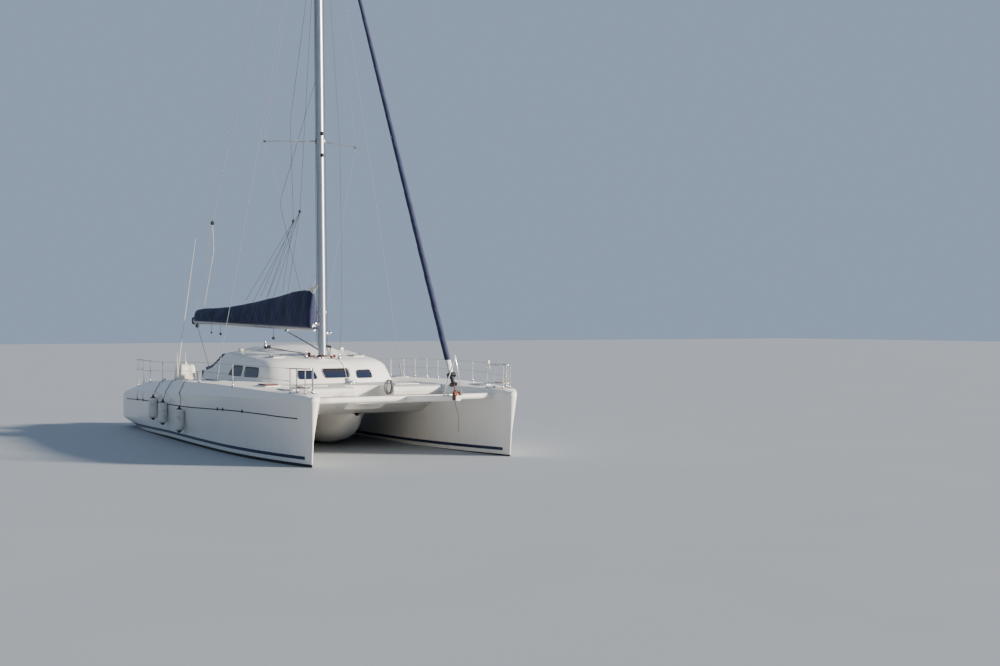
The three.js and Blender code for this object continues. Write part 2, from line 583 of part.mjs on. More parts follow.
const DRUM = { z0: 1760, z1: 1985, r: 95 };
const DRUM_SHARES = [[0, 0.95], [0.12, 0.95], [0.14, 0.45], [0.72, 0.45], [0.75, 1], [1, 1]];
function stayRing(z, r, sides) {
  const centre = onStay(z);
  const along = stayTop.clone().sub(stayFoot).normalize();
  const across = vec(0, 1, 0);
  const up = along.clone().cross(across);
  return Array.from({ length: sides }, (_, i) => {
    const turn = (2 * Math.PI * i) / sides;
    return centre.clone().addScaledVector(across, r * Math.cos(turn)).addScaledVector(up, r * Math.sin(turn));
  });
}
const drumBore = bar(onStay(DRUM.z0 - 60), onStay(STAY.toZ + 1), STAY.r + 0.7, 12);
add("furling_drum", cut(loft(DRUM_SHARES.map(([up, out]) =>
  stayRing(lerp(DRUM.z0, DRUM.z1, up), DRUM.r * out, 16))), drumBore), "black");

const ROLL = [
  // height up the stay, radius
  [DRUM.z1 + GAP, 40], [2060, 52], [2500, 66], [4500, 66], [8500, 56], [12500, 42], [15000, 30],
  [STAY.headZ, 24],
];
add("headsail_roll", loft(ROLL.map(([z, r]) => stayRing(z, r, 14))), "canvas");

// The gooseneck, and the boom with its cover and vang, which swing together about its pin.
const pinX = mastX(GOOSENECK.z) - MAST.long / 2 - GOOSENECK.back;
const pinFrame = new THREE.Matrix4().makeRotationY(-rad(MAST.rakeDeg)).setPosition(pinX, 0, GOOSENECK.z);
const PIN = { r: 15, eyeR: 38, eyeHalf: 40 };
const ear = (z0, z1) => block(-36, GOOSENECK.back + 20, -34, 34, z0, z1);
const gooseneck = cut(join(
  ear(PIN.eyeHalf + 1, PIN.eyeHalf + 22), ear(-PIN.eyeHalf - 22, -PIN.eyeHalf - 1),
  block(GOOSENECK.back - 25, GOOSENECK.back + 20, -34, 34, -PIN.eyeHalf - 40, PIN.eyeHalf + 40),
  bar(vec(0, 0, -PIN.eyeHalf - 22), vec(0, 0, PIN.eyeHalf + 22), PIN.r, 16),
).applyMatrix4(pinFrame), mastSkin(GAP));
add("gooseneck", gooseneck, "steel");

const VANG = { footZ: -560, boomAt: 1250, r: 27 };
const vangBracket = cut(join(
  block(-30, GOOSENECK.back + 20, -30, 30, VANG.footZ - 40, VANG.footZ - 21),
  bar(vec(0, 0, VANG.footZ - 40), vec(0, 0, VANG.footZ + 18), 12, 16),
).applyMatrix4(pinFrame), mastSkin(GAP));
add("vang_bracket", vangBracket, "steel");

// In the boom's own frame the pin is at the origin and the boom runs along -X.
const boomFrame = pinFrame.clone().multiply(new THREE.Matrix4().makeRotationZ(rad(BOOM.yawDeg)));
const boomDrop = Math.tan(rad(BOOM.riseDeg + MAST.rakeDeg * Math.cos(rad(BOOM.yawDeg))));
const boomZ = (s) => s * boomDrop;
function boomRing(s, grow) {
  return Array.from({ length: 12 }, (_, i) => {
    const turn = (2 * Math.PI * (i + 0.5)) / 12;
    const [across, up] = [BOOM.wide / 2 + grow, BOOM.high / 2 + grow];
    return vec(-s, across * Math.cos(turn), boomZ(s) + up * Math.sin(turn));
  });
}
const eyeBore = bar(vec(0, 0, -PIN.eyeHalf - 5), vec(0, 0, PIN.eyeHalf + 5), PIN.r + 0.7, 16);
const boomSkin = (grow = 0) => loft([boomRing(BOOM.start - grow, grow), boomRing(BOOM.length + grow, grow)]);
const boom = cut(join(
  boomSkin(),
  bar(vec(0, 0, -PIN.eyeHalf), vec(0, 0, PIN.eyeHalf), PIN.eyeR, 16),
  block(-BOOM.start - 20, -PIN.eyeR + 12, -22, 22, -PIN.eyeHalf + 4, PIN.eyeHalf - 4),
), eyeBore);
add("boom", boom.applyMatrix4(boomFrame), "alloy");

const COVER = [
  // along the boom, top above its axis, half width
  { s: 190, top: 895, half: 120 },
  { s: 330, top: 980, half: 165 },
  { s: 900, top: 910, half: 180 },
  { s: 1450, top: 795, half: 175 },
  { s: 2550, top: 590, half: 160 },
  { s: 3650, top: 430, half: 140 },
  { s: 4950, top: 315, half: 110 },
  { s: 5030, top: 275, half: 80 },
];
const COVER_SHARES = [[0.5, -0.02], [0.86, 0.02], [1, 0.16], [0.92, 0.42], [0.62, 0.74], [0.3, 0.94], [0, 1]];
function coverRing({ s, top, half }) {
  const right = COVER_SHARES.map(([out, up]) => [half * out, top * up]);
  const left = right.slice(0, -1).reverse().map(([y, z]) => [-y, z]);
  return [...right, ...left].map(([y, z]) => vec(-s, y, boomZ(s) + z));
}
add("sail_cover", cut(loft(COVER.map(coverRing)), boomSkin(GAP)).applyMatrix4(boomFrame), "canvas");

const vangTop = vec(-VANG.boomAt, 0, boomZ(VANG.boomAt) - BOOM.high / 2 - 30);
const vang = cut(join(
  bar(vec(-30, 0, VANG.footZ + 6), vangTop, VANG.r, 12, VANG.r - 6),
  bar(vec(0, 0, VANG.footZ - 20), vec(0, 0, VANG.footZ + 32), 30, 16),
  block(-VANG.boomAt - 60, -VANG.boomAt + 60, -16, 16, vangTop.z - 14, vangTop.z + 60),
), bar(vec(0, 0, VANG.footZ - 30), vec(0, 0, VANG.footZ + 22), 12.7, 16), boomSkin(GAP));
add("vang", vang.applyMatrix4(boomFrame), "alloy");

// Fore end: the beam between the bows, the catwalk behind it and the bowsprit ahead of it.
const BEAM = { x: 6090, z: 1375, r: 66 };
const beamSkin = (grow = 0) =>
  bar(vec(BEAM.x, -HULL_Y, BEAM.z), vec(BEAM.x, HULL_Y, BEAM.z), BEAM.r + grow, 20);
add("cross_beam", cut(beamSkin(), bothHulls(GAP)), "gelcoat");

const sparSkin = (stations, grow = 0) => loft(stations.map(({ x, z, high, wide }) =>
  [[-1, -0.7], [-0.7, -1], [0.7, -1], [1, -0.7], [1, 0.7], [0.7, 1], [-0.7, 1], [-1, 0.7]]
    .map(([y, up]) => vec(x, y * (wide / 2 + grow), z + up * (high / 2 + grow)))));
const CATWALK = [
  // x, height of its centre, high, wide
  { x: NOSE_RECESS.x + GAP, z: 1155, high: 150, wide: 240 },
  { x: BEAM.x - GAP / 2, z: 1350, high: 130, wide: 190 },
];
const SPRIT = [
  { x: BEAM.x + GAP / 2, z: 1355, high: 130, wide: 150 },
  { x: 7900, z: 1465, high: 125, wide: 130 },
  { x: 8490, z: 1497, high: 105, wide: 110 },
];
const tang = block(8330, 8450, -14, 14, SPRIT_TIP.z, 1570);
add("catwalk", cut(sparSkin(CATWALK), beamSkin(GAP)), "gelcoat");
add("bowsprit", cut(join(sparSkin(SPRIT), tang), beamSkin(GAP)), "gelcoat");

const SPRIT_FRAME = { footX: 8220, half: 215, footZ: 1550, apexX: 8330, apexZ: 2343 };
const spritFrame = cut(rail([
  vec(SPRIT_FRAME.footX, -20, SPRIT_FRAME.footZ),
  vec(SPRIT_FRAME.footX, -SPRIT_FRAME.half, SPRIT_FRAME.footZ),
  vec(SPRIT_FRAME.apexX, 0, SPRIT_FRAME.apexZ),
  vec(SPRIT_FRAME.footX, SPRIT_FRAME.half, SPRIT_FRAME.footZ),
  vec(SPRIT_FRAME.footX, 20, SPRIT_FRAME.footZ),
], RAIL_R), sparSkin(SPRIT, GAP));
add("sprit_frame", spritFrame, "steel");

// Nets between the foredeck, the hulls, the beam and the spar.
const NET = { inner: 60, thick: 12, aftX: 4234, aftZ: 1300, foreZ: 1364 };
const NET_ENDS = [[NET.aftX, NET.aftZ], [BEAM.x - BEAM.r - 1, NET.foreZ]];
const netSkin = loft(NET_ENDS.map(([x, z]) => [
  vec(x, -HULL_Y, z), vec(x, -NET.inner, z),
  vec(x, -NET.inner, z + NET.thick), vec(x, -HULL_Y, z + NET.thick),
]));
addPair("net", cut(netSkin, hullSkin(GAP), sparSkin(CATWALK, GAP)), "mesh");

// Rails: a pulpit on each bow, a stern rail on each quarter, and stanchions with two wires between.
const onDeck = (x, y) => vec(x, y, deckZ(x));
const PULPIT = {
  aft: 5820, waist: 6020, fore: 6275, halfAft: 250, halfWaist: 178, halfFore: 87, top: 2070, mid: 1800,
};
function pulpitHoop(z) {
  return rail([
    vec(PULPIT.aft - 20, -HULL_Y - PULPIT.halfAft, z), vec(PULPIT.fore, -HULL_Y - PULPIT.halfFore, z),
    vec(PULPIT.fore, -HULL_Y + PULPIT.halfFore, z), vec(PULPIT.aft - 20, -HULL_Y + PULPIT.halfAft, z),
  ], RAIL_R);
}
const pulpitPosts = [
  [PULPIT.aft, PULPIT.halfAft], [PULPIT.aft, -PULPIT.halfAft],
  [PULPIT.waist, PULPIT.halfWaist], [PULPIT.waist, -PULPIT.halfWaist],
  [PULPIT.fore, PULPIT.halfFore], [PULPIT.fore, -PULPIT.halfFore],
].map(([x, y]) => bar(vec(x, y - HULL_Y, 1400), vec(x, y - HULL_Y, PULPIT.top), RAIL_R));
addPair("bow_pulpit", cut(join(pulpitHoop(PULPIT.top), pulpitHoop(PULPIT.mid), ...pulpitPosts),
  hullSkin(GAP)), "steel");

const RAIL_Y = -3010;
const STANCHIONS = { starboard: [-2950, 450, 3060], port: [-2950, -1350, -500, 220, 930, 1580, 3500] };
const WIRE_RISE = [270, 500];
const STERN_RAIL = {
  posts: [-4290, -5000, -5620], aft: -5800, turnY: -2920, inY: -2770, top: 1975, mid: 1700,
};
const sternPosts = STERN_RAIL.posts.map((x) =>
  bar(vec(x, RAIL_Y + 20, deckZ(x) - 60), vec(x, RAIL_Y + 20, STERN_RAIL.top), RAIL_R));
const sternHoop = (z) => rail([
  vec(STERN_RAIL.posts[0] + 20, RAIL_Y + 20, z), vec(STERN_RAIL.aft, RAIL_Y + 20, z),
  vec(STERN_RAIL.aft - 60, STERN_RAIL.turnY - 60, z), vec(STERN_RAIL.aft - 60, STERN_RAIL.inY, z),
], RAIL_R);
const sternLast = bar(vec(STERN_RAIL.aft - 60, STERN_RAIL.inY - 130, deckZ(STERN_RAIL.aft - 60) - 80),
  vec(STERN_RAIL.aft - 60, STERN_RAIL.inY - 130, STERN_RAIL.top), RAIL_R);
const sternHoops = [STERN_RAIL.top, STERN_RAIL.mid].map(sternHoop);
addPair("stern_rail", cut(join(...sternHoops, ...sternPosts, sternLast), hullSkin(GAP)), "steel");

// The wires run from the stern rail's first post through the stanchions to the pulpit.
function lifeline(postX) {
  const stanchions = postX.map((x) =>
    bar(vec(x, RAIL_Y, deckZ(x) - 60), vec(x, RAIL_Y, deckZ(x) + WIRE_RISE[1] + 15), RAIL_R));
  const wires = WIRE_RISE.map((rise, i) => rail([
    vec(STERN_RAIL.posts[0] + 21, RAIL_Y + 20, [STERN_RAIL.mid, STERN_RAIL.top][i]),
    ...postX.map((x) => onDeck(x, RAIL_Y).add(vec(0, 0, rise))),
    vec(PULPIT.aft - 21, -HULL_Y - PULPIT.halfAft, [PULPIT.mid, PULPIT.top][i]),
  ], WIRE_R, 6));
  return cut(join(...stanchions, ...wires), hullSkin(GAP));
}
add("lifeline_starboard", lifeline(STANCHIONS.starboard), "steel");
add("lifeline_port", mirrored(lifeline(STANCHIONS.port)), "steel");

// Fenders hang against the starboard topside.
const FENDER = { r: 122, long: 560, cap: 45, seatHalf: 770 };
const FENDERS = [
  // name, x, height of its middle
  { name: "fender_aft", x: -2880, z: 760 },
  { name: "fender_middle", x: -1910, z: 690 },
  { name: "fender_fore", x: -360, z: 600 },
];
const FENDER_SHARES = [
  // share of the half length, share of the radius
  [-1, 0.3], [-0.97, 0.5], [-0.86, 0.92], [-0.78, 1], [0.78, 1], [0.86, 0.92], [0.97, 0.5], [1, 0.3],
];
const FENDER_Y = -HULL_Y - FENDER.seatHalf - FENDER.r;
for (const { name, x, z } of FENDERS) {
  const body = loft(FENDER_SHARES.map(([up, out]) => Array.from({ length: 14 }, (_, i) => {
    const turn = (2 * Math.PI * i) / 14;
    return vec(x + FENDER.r * out * Math.cos(turn), FENDER_Y + FENDER.r * out * Math.sin(turn),
      z + (FENDER.long / 2 + FENDER.cap) * up);
  })));
  add(name, cut(body, hullSkin(GAP)), "vinyl");
}

// Cockpit: the helm seat on the starboard quarter and the wheel on the bulkhead.
const SEAT = { x0: -4380, x1: -3720, y0: -2330, y1: -1830, top: 1880 };
const seat = cut(block(SEAT.x0, SEAT.x1, SEAT.y0, SEAT.y1, 1250, SEAT.top), hullSkin(GAP), bridgeSlab(GAP));
add("helm_seat", seat, "gelcoat");

const WHEEL = { x: COCKPIT.fore - 130, y: -1010, z: 1690, r: 330, tube: 14, hubR: 45, shaftR: 15 };
const wheelFrame = new THREE.Matrix4().makeRotationY(Math.PI / 2).setPosition(WHEEL.x, WHEEL.y, WHEEL.z);
const wheelRim = new THREE.TorusGeometry(WHEEL.r, WHEEL.tube, 8, 36);
const spokes = [0, 1, 2, 3, 4].map((i) => {
  const turn = (2 * Math.PI * i) / 5;
  return bar(vec(0, 0, 0), vec(WHEEL.r * Math.cos(turn), WHEEL.r * Math.sin(turn), 0), 8, 8);
});
const wheel = cut(join(wheelRim, ...spokes, bar(vec(0, 0, -30), vec(0, 0, 30), WHEEL.hubR, 16)),
  bar(vec(0, 0, -20), vec(0, 0, 40), WHEEL.shaftR + 0.7, 16));
add("steering_wheel", wheel.applyMatrix4(wheelFrame), "steel");
const wheelMount = join(
  bar(vec(WHEEL.x - 15, WHEEL.y, WHEEL.z), vec(COCKPIT.fore - 0.5, WHEEL.y, WHEEL.z), WHEEL.shaftR, 16),
  block(COCKPIT.fore - 60, COCKPIT.fore - 0.5, WHEEL.y - 90, WHEEL.y + 90, WHEEL.z - 110, WHEEL.z + 110),
);
add("wheel_mount", wheelMount, "black");

export default group;
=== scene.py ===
"""A cruising catamaran afloat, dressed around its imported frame.

Metres throughout: +X forward, +Y to port, +Z up, with the waterline at z = 0.
"""

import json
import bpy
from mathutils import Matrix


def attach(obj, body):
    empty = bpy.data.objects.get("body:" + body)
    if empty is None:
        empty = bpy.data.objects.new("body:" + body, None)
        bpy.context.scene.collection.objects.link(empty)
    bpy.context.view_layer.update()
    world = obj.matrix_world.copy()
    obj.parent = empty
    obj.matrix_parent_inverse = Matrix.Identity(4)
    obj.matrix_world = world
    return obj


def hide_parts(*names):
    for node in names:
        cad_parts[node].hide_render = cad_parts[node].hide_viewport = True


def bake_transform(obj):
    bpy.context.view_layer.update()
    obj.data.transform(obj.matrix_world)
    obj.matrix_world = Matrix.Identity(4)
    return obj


bl_info = {
    "name": "Cruising Catamaran",
    "version": (1, 0, 0),
    "blender": (4, 5, 0),
    "location": "View3D > Sidebar > Catamaran",
    "description": "Dresses the catamaran's frame with hull shells, cabin, rig, canvas and deck gear",
    "category": "Add Mesh",
}

import bmesh
import bpy
import numpy as np
from mathutils import Vector
from mathutils.bvhtree import BVHTree

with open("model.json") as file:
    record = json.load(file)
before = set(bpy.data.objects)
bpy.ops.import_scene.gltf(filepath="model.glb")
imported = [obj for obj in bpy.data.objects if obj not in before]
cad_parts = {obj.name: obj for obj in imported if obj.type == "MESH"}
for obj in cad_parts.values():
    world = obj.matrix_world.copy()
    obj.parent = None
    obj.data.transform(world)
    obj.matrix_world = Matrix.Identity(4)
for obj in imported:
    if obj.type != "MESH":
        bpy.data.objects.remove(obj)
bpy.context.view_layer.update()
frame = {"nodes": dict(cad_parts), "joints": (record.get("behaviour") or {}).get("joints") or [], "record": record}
BODY_OF = {
    node: body
    for body, nodes in frame["record"]["behaviour"]["bodies"].items()
    for node in nodes
}
JOINTS = {joint["name"]: joint for joint in frame["joints"]}

HULL_Y = 2.395
STERN_X = -6.87
MAST_RAKE = np.radians(1.4)
MAST_FOOT = np.array([1.0113, 0.0, 2.172])
BOOM_YAW = np.radians(21.0)
BOOM_LIFT = np.tan(np.radians(2.1) + MAST_RAKE * np.cos(BOOM_YAW))
STARBOARD, PORT = -1, 1
SIDES = {"starboard": STARBOARD, "port": PORT}


# Sizes and colours that a user would change.
def hex_colour(code):
    """The linear colour of an sRGB hex code."""
    srgb = np.array([int(code[i:i + 2], 16) for i in (1, 3, 5)]) / 255
    linear = np.where(srgb <= 0.04045, srgb / 12.92, ((srgb + 0.055) / 1.055) ** 2.4)
    return (*linear.tolist(), 1.0)


def colour_setting(name, description, code):
    """A colour that a user can change, with an sRGB hex code as its default."""
    return bpy.props.FloatVectorProperty(
        name=name, description=description, subtype="COLOR", size=4, min=0.0, max=1.0,
        default=hex_colour(code),
    )


def length_setting(name, description, default):
    """A length in metres that a user can change."""
    return bpy.props.FloatProperty(
        name=name, description=description, default=default, min=0.0, unit="LENGTH", subtype="DISTANCE",
    )


class CatamaranColours(bpy.types.PropertyGroup):
    """Colours of the boat and of the floor"""

    gelcoat: colour_setting("Gelcoat", "White of the hulls and cabin", "#E9E6DF")
    grime: colour_setting("Grime", "Runs and scum on the gelcoat", "#A79E86")
    boot_stripe: colour_setting("Boot stripe", "Navy line above the water", "#1C2745")
    antifoul: colour_setting("Antifouling", "Paint below the waterline", "#2B2524")
    canvas: colour_setting("Canvas", "Navy of the sail cover and the headsail's edge", "#151C38")
    sailcloth: colour_setting("Sailcloth", "White of the sails", "#E8E5DC")
    floor: colour_setting("Floor", "Pale floor at the waterline", "#9DA3A8")


class CatamaranSizes(bpy.types.PropertyGroup):
    """Sizes of the paint lines, the nets' mesh and the cover's folds"""

    boot_low: length_setting("Boot stripe, lower edge", "Height above the water", 0.150)
    boot_high: length_setting("Boot stripe, upper edge", "Height above the water", 0.222)
    antifoul_top: length_setting("Antifouling, upper edge", "Height above the water", 0.065)
    boot_end: length_setting("Boot stripe, fore end", "Distance forward of midships", 6.24)
    net_mesh: length_setting("Net mesh", "Spacing of the net's strands", 0.048)
    fold: length_setting("Cover folds", "Depth of the folds in the sail cover", 0.014)


def colours():
    return bpy.context.scene.catamaran_colours


def sizes():
    return bpy.context.scene.catamaran_sizes


# Shapes as arrays. A shape is a pair of points and faces.
def skin(points, closed_rows=False, closed_cols=True):
    """A surface over a grid of points: each point joins the next in its row and in its column. A tube
    of rows is closed at its two ends."""
    rows, cols = points.shape[:2]
    index = np.arange(rows * cols).reshape(rows, cols)
    top = index if closed_rows else index[:-1]
    low = np.roll(index, -1, axis=0) if closed_rows else index[1:]
    corners = [top, np.roll(top, -1, axis=1), np.roll(low, -1, axis=1), low]
    if not closed_cols:
        corners = [grid[:, :-1] for grid in corners]
    faces = np.stack(corners, axis=-1).reshape(-1, 4).tolist()
    if closed_cols and not closed_rows:
        faces += [index[0][::-1].tolist(), index[-1].tolist()]
    return points.reshape(-1, 3), faces


def unit(vectors):
    """Vectors divided by their own lengths."""
    return vectors / np.linalg.norm(vectors, axis=-1, keepdims=True)


def lifted(point, by):
    """A point moved straight up, or down where the step is negative."""
    return np.asarray(point) + np.array([0, 0, by])


def on_side(points, side):
    """Points given for the port side, on either side of the boat."""
    return points * np.array([1, side, 1])


def sweep(path, radius, sides=10, closed=False):
    """A tube: point = path + radius * (cos t * side + sin t * up), square to the path."""
    path = np.asarray(path, float)
    if closed:
        along = np.roll(path, -1, axis=0) - np.roll(path, 1, axis=0)
    else:
        along = np.gradient(path, axis=0)
    along = unit(along)
    guide = np.eye(3)[np.abs(along).max(axis=0).argmin()]
    side = unit(np.cross(along, guide))
    up = np.cross(side, along)
    turn = np.linspace(0, 2 * np.pi, sides, endpoint=False)
    reach = np.broadcast_to(radius, len(path))[:, None, None]
    circle = np.cos(turn)[:, None] * side[:, None] + np.sin(turn)[:, None] * up[:, None]
    return skin(path[:, None] + reach * circle, closed_rows=closed)


def smooth_path(points, count):
    """A path through given points, by cubic pieces with the slope of the neighbours' chord."""
    points = np.asarray(points, float)
    padded = np.vstack([2 * points[0] - points[1], points, 2 * points[-1] - points[-2]])
    at = np.linspace(0, len(points) - 1, count)
    i = np.minimum(at.astype(int), len(points) - 2)
    t = (at - i)[:, None]
    a, b, c, d = padded[i], padded[i + 1], padded[i + 2], padded[i + 3]
    return 0.5 * (2 * b + (c - a) * t + (2 * a - 5 * b + 4 * c - d) * t**2 + (3 * b - a - 3 * c + d) * t**3)


def corner_curve(before, corner, after, radius, t):
    """A rounded corner: (1-t)^2 a + 2t(1-t) corner + t^2 b, with a and b a radius away from it."""
    a = corner + unit(before - corner) * radius
    b = corner + unit(after - corner) * radius
    return (1 - t) ** 2 * a + 2 * t * (1 - t) * corner + t**2 * b


def rounded_path(points, radius, steps=5):
    """A path of straight runs with each inner corner rounded."""
    points = np.asarray(points, float)
    t = np.linspace(0, 1, steps)[:, None]
    bends = [corner_curve(*three, radius, t) for three in zip(points[:-2], points[1:-1], points[2:])]
    return np.vstack([points[:1], *bends, points[-1:]])


def turned(profile, base, along, sides=24):
    """A turned piece: (distance, radius) pairs carried round a line from base."""
    base, along = np.asarray(base, float), unit(np.asarray(along, float))
    guide = np.eye(3)[np.abs(along).argmin()]
    side = unit(np.cross(along, guide))
    up = np.cross(side, along)
    turn = np.linspace(0, 2 * np.pi, sides, endpoint=False)
    rings = [
        base + along * far + radius * (np.cos(turn)[:, None] * side + np.sin(turn)[:, None] * up)
        for far, radius in profile
    ]
    return skin(np.array(rings))


def rounded_block(centre, half, power=6.0, rows=14, cols=28):
    """A superellipsoid: each coordinate is half * sign(c) |c|^(2/power) of the sphere's own."""
    lat = np.linspace(-np.pi / 2, np.pi / 2, rows)[:, None]
    lon = np.linspace(0, 2 * np.pi, cols, endpoint=False)[None]
    ball = np.stack([
        np.cos(lat) * np.cos(lon), np.cos(lat) * np.sin(lon), np.sin(lat) * np.ones_like(lon),
    ], axis=-1)
    power_of = np.sign(ball) * np.abs(ball) ** (2 / power)
    return skin(np.asarray(centre) + power_of * np.asarray(half))


def eased_table(table, at):
    """Columns of a table between its rows, by cubics whose slopes never overshoot the rows."""
    x, y = table[:, 0], table[:, 1:]
    step = np.diff(x)[:, None]
    chord = np.diff(y, axis=0) / step
    same = chord[:-1] * chord[1:] > 0
    before, after = np.where(same, chord[:-1], 1), np.where(same, chord[1:], 1)
    w1, w2 = 2 * step[1:] + step[:-1], step[1:] + 2 * step[:-1]
    slope = np.zeros_like(y)
    slope[1:-1] = np.where(same, (w1 + w2) / (w1 / before + w2 / after), 0)
    slope[0], slope[-1] = chord[0], chord[-1]
    i = np.clip(np.searchsorted(x, at) - 1, 0, len(x) - 2)
    t = ((at - x[i]) / (x[i + 1] - x[i]))[:, None]
    rise = step[i] * t * (1 - t) * (slope[i] * (1 - t) - slope[i + 1] * t)
    return y[i] * (1 + 2 * t) * (1 - t) ** 2 + y[i + 1] * t**2 * (3 - 2 * t) + rise


def joined(shapes):
    """Several shapes as one: each one's faces count on from the points before it."""
    points, faces, count = [], [], 0
    for verts, some in shapes:
        points.append(verts)
        faces += [[corner + count for corner in face] for face in some]
        count += len(verts)
    return np.vstack(points), faces


def placed(shape, side):
    """A shape of the starboard side as it is, or its mirror on the port side."""
    if side == STARBOARD:
        return shape
    return on_side(shape[0], -1), [face[::-1] for face in shape[1]]


def ribbon(path, outward, half_high, proud):
    """A half-round strip: path + proud sin t * outward + half_high cos t * up, t over half a turn,
    closed by a flat back that lies a little inside what it sits on."""
    sunk = 0.006
    turn = np.linspace(0, np.pi, 9)
    outward = np.asarray(outward, float)
    up = np.array([0, 0, 1.0])
    ring = proud * np.sin(turn)[:, None] * outward + half_high * np.cos(turn)[:, None] * up
    return skin(np.asarray(path)[:, None] - sunk * outward + ring[None])


def rounded_loop(corners, radius):
    """A closed outline with each corner rounded."""
    t = np.linspace(0, 1, 7)[:, None]
    around = zip(np.roll(corners, 1, axis=0), corners, np.roll(corners, -1, axis=0))
    return np.vstack([corner_curve(*three, radius, t) for three in around])


def evenly(path, count, closed=False):
    """The same path with its points at equal distances along it."""
    path = np.vstack([path, path[:1]]) if closed else np.asarray(path, float)
    far = np.concatenate([[0], np.cumsum(np.linalg.norm(np.diff(path, axis=0), axis=1))])
    at = np.linspace(0, far[-1], count + closed)[:count]
    return np.column_stack([np.interp(at, far, col) for col in path.T])


def box_shape(low, high):
    """A box as a ring of four corners carried from its low face to its high one."""
    low, high = np.asarray(low, float), np.asarray(high, float)
    ring = np.array([[low[0], low[1]], [high[0], low[1]], [high[0], high[1]], [low[0], high[1]]])
    rings = [np.column_stack([ring, np.full(4, z)]) for z in (low[2], high[2])]
    return skin(np.array(rings))


def slats(low, high, z, thick, count):
    """Planks side by side across the boat, each running fore and aft, over a rectangle at height z."""
    gap = 0.006
    edges = np.linspace(low[1], high[1], count + 1)
    return [
        box_shape((low[0], left + gap / 2, z - 0.001), (high[0], right - gap / 2, z + thick))
        for left, right in zip(edges[:-1], edges[1:])
    ]


def tidy(mesh, flat_deg=0.0):
    """Merges doubles, turns the faces outwards and, if asked, joins triangles that lie flat."""
    work = bmesh.new()
    work.from_mesh(mesh)
    bmesh.ops.remove_doubles(work, verts=work.verts, dist=2e-5)
    if flat_deg:
        bmesh.ops.dissolve_limit(
            work, angle_limit=np.radians(flat_deg), verts=work.verts, edges=work.edges)
    bmesh.ops.recalc_face_normals(work, faces=work.faces)
    work.to_mesh(mesh)
    work.free()


def settle(obj, looks, body, stands_for, smooth_deg, bevel):
    """Gives a piece its finish, its shading and eased edges, its body and its node."""
    mesh = obj.data
    mesh.materials.clear()
    mesh.materials.append(finish(looks))
    mesh.shade_smooth()
    mesh.set_sharp_from_angle(angle=np.radians(smooth_deg))
    if bevel:
        edge = obj.modifiers.new("eased_edges", "BEVEL")
        edge.width = bevel
        edge.segments = 2
        edge.limit_method = "ANGLE"
        edge.angle_limit = np.radians(30)
        edge.harden_normals = True
    if body:
        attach(obj, body)
    if stands_for:
        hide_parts(*stands_for)
    return obj


def piece(name, shapes, looks, body="root", stands_for=(), smooth_deg=35, bevel=0.0):
    """A new piece from one or more shapes, at the origin, with its finish in its one slot."""
    verts, faces = joined(shapes)
    mesh = bpy.data.meshes.new(name)
    mesh.from_pydata(verts.tolist(), [], faces)
    obj = bpy.data.objects.new(name, mesh)
    bpy.context.scene.collection.objects.link(obj)
    tidy(mesh)
    return settle(obj, looks, body, stands_for, smooth_deg, bevel)


def refined(node, looks, smooth_deg=35, bevel=0.0):
    """A copy of a frame node with merged corners and eased edges, which stands for the node."""
    mesh = frame["nodes"][node].data.copy()
    obj = bpy.data.objects.new(f"{node}_finished", mesh)
    bpy.context.scene.collection.objects.link(obj)
    tidy(mesh, flat_deg=0.5)
    return settle(obj, looks, BODY_OF[node], [node], smooth_deg, bevel)


def thicken(obj, thick):
    """Gives a cloth its thickness, half on each side of its own surface."""
    layer = obj.modifiers.new("thickness", "SOLIDIFY")
    layer.thickness = thick
    layer.offset = 0.0
    return obj


def cut_away(obj, shapes):
    """Cuts shapes out of a piece, one after another, and applies the cut."""
    for number, shape in enumerate(shapes):
        mesh = bpy.data.meshes.new(f"cutter_{number}")
        mesh.from_pydata(shape[0].tolist(), [], shape[1])
        tidy(mesh)
        tool = bpy.data.objects.new(mesh.name, mesh)
        bpy.context.scene.collection.objects.link(tool)
        cut = obj.modifiers.new("cut", "BOOLEAN")
        cut.operation = "DIFFERENCE"
        cut.solver = "EXACT"
        cut.object = tool
        bpy.context.view_layer.objects.active = obj
        bpy.ops.object.modifier_apply(modifier=cut.name)
        bpy.data.objects.remove(tool)


# Finishes. Each is named for the real material.
def add_node(tree, kind, settings=None, links=None):
    """Adds one shader node, with its settings by attribute or socket, and its links."""
    made = tree.nodes.new("ShaderNode" + kind)
    for key, value in (settings or {}).items():
        if isinstance(key, str) and key.islower() and hasattr(made, key):
            setattr(made, key, value)
        else:
            made.inputs[key].default_value = value
    for key, source in (links or {}).items():
        tree.links.new(source, made.inputs[key])
    return made


def new_finish(name, **sockets):
    """A material with one principled shader, whose even values sit on its own sockets."""
    material = bpy.data.materials.new(name)
    material.use_nodes = True
    tree = material.node_tree
    shader = tree.nodes["Principled BSDF"]
    for key, value in sockets.items():
        shader.inputs[key.replace("_", " ").title().replace("Ior", "IOR")].default_value = value
    place = add_node(tree, "TexCoord").outputs["Object"]
    return material, tree, shader, place


FINISHES = {}


def finish(maker):
    """Each finish is made once, when it is first asked for."""
    if maker.__name__ not in FINISHES:
        FINISHES[maker.__name__] = maker()
    return FINISHES[maker.__name__]


def wave_bump(tree, place, shader, scale, detail, strength, distance):
    """A noise relief of the given scale on the shader's normal."""
    relief = add_node(tree, "TexNoise", {"Scale": scale, "Detail": detail}, {"Vector": place})
    bump = add_node(tree, "Bump", {"Strength": strength, "Distance": distance},
                    {"Height": relief.outputs["Fac"]})
    tree.links.new(bump.outputs["Normal"], shader.inputs["Normal"])
    return bump


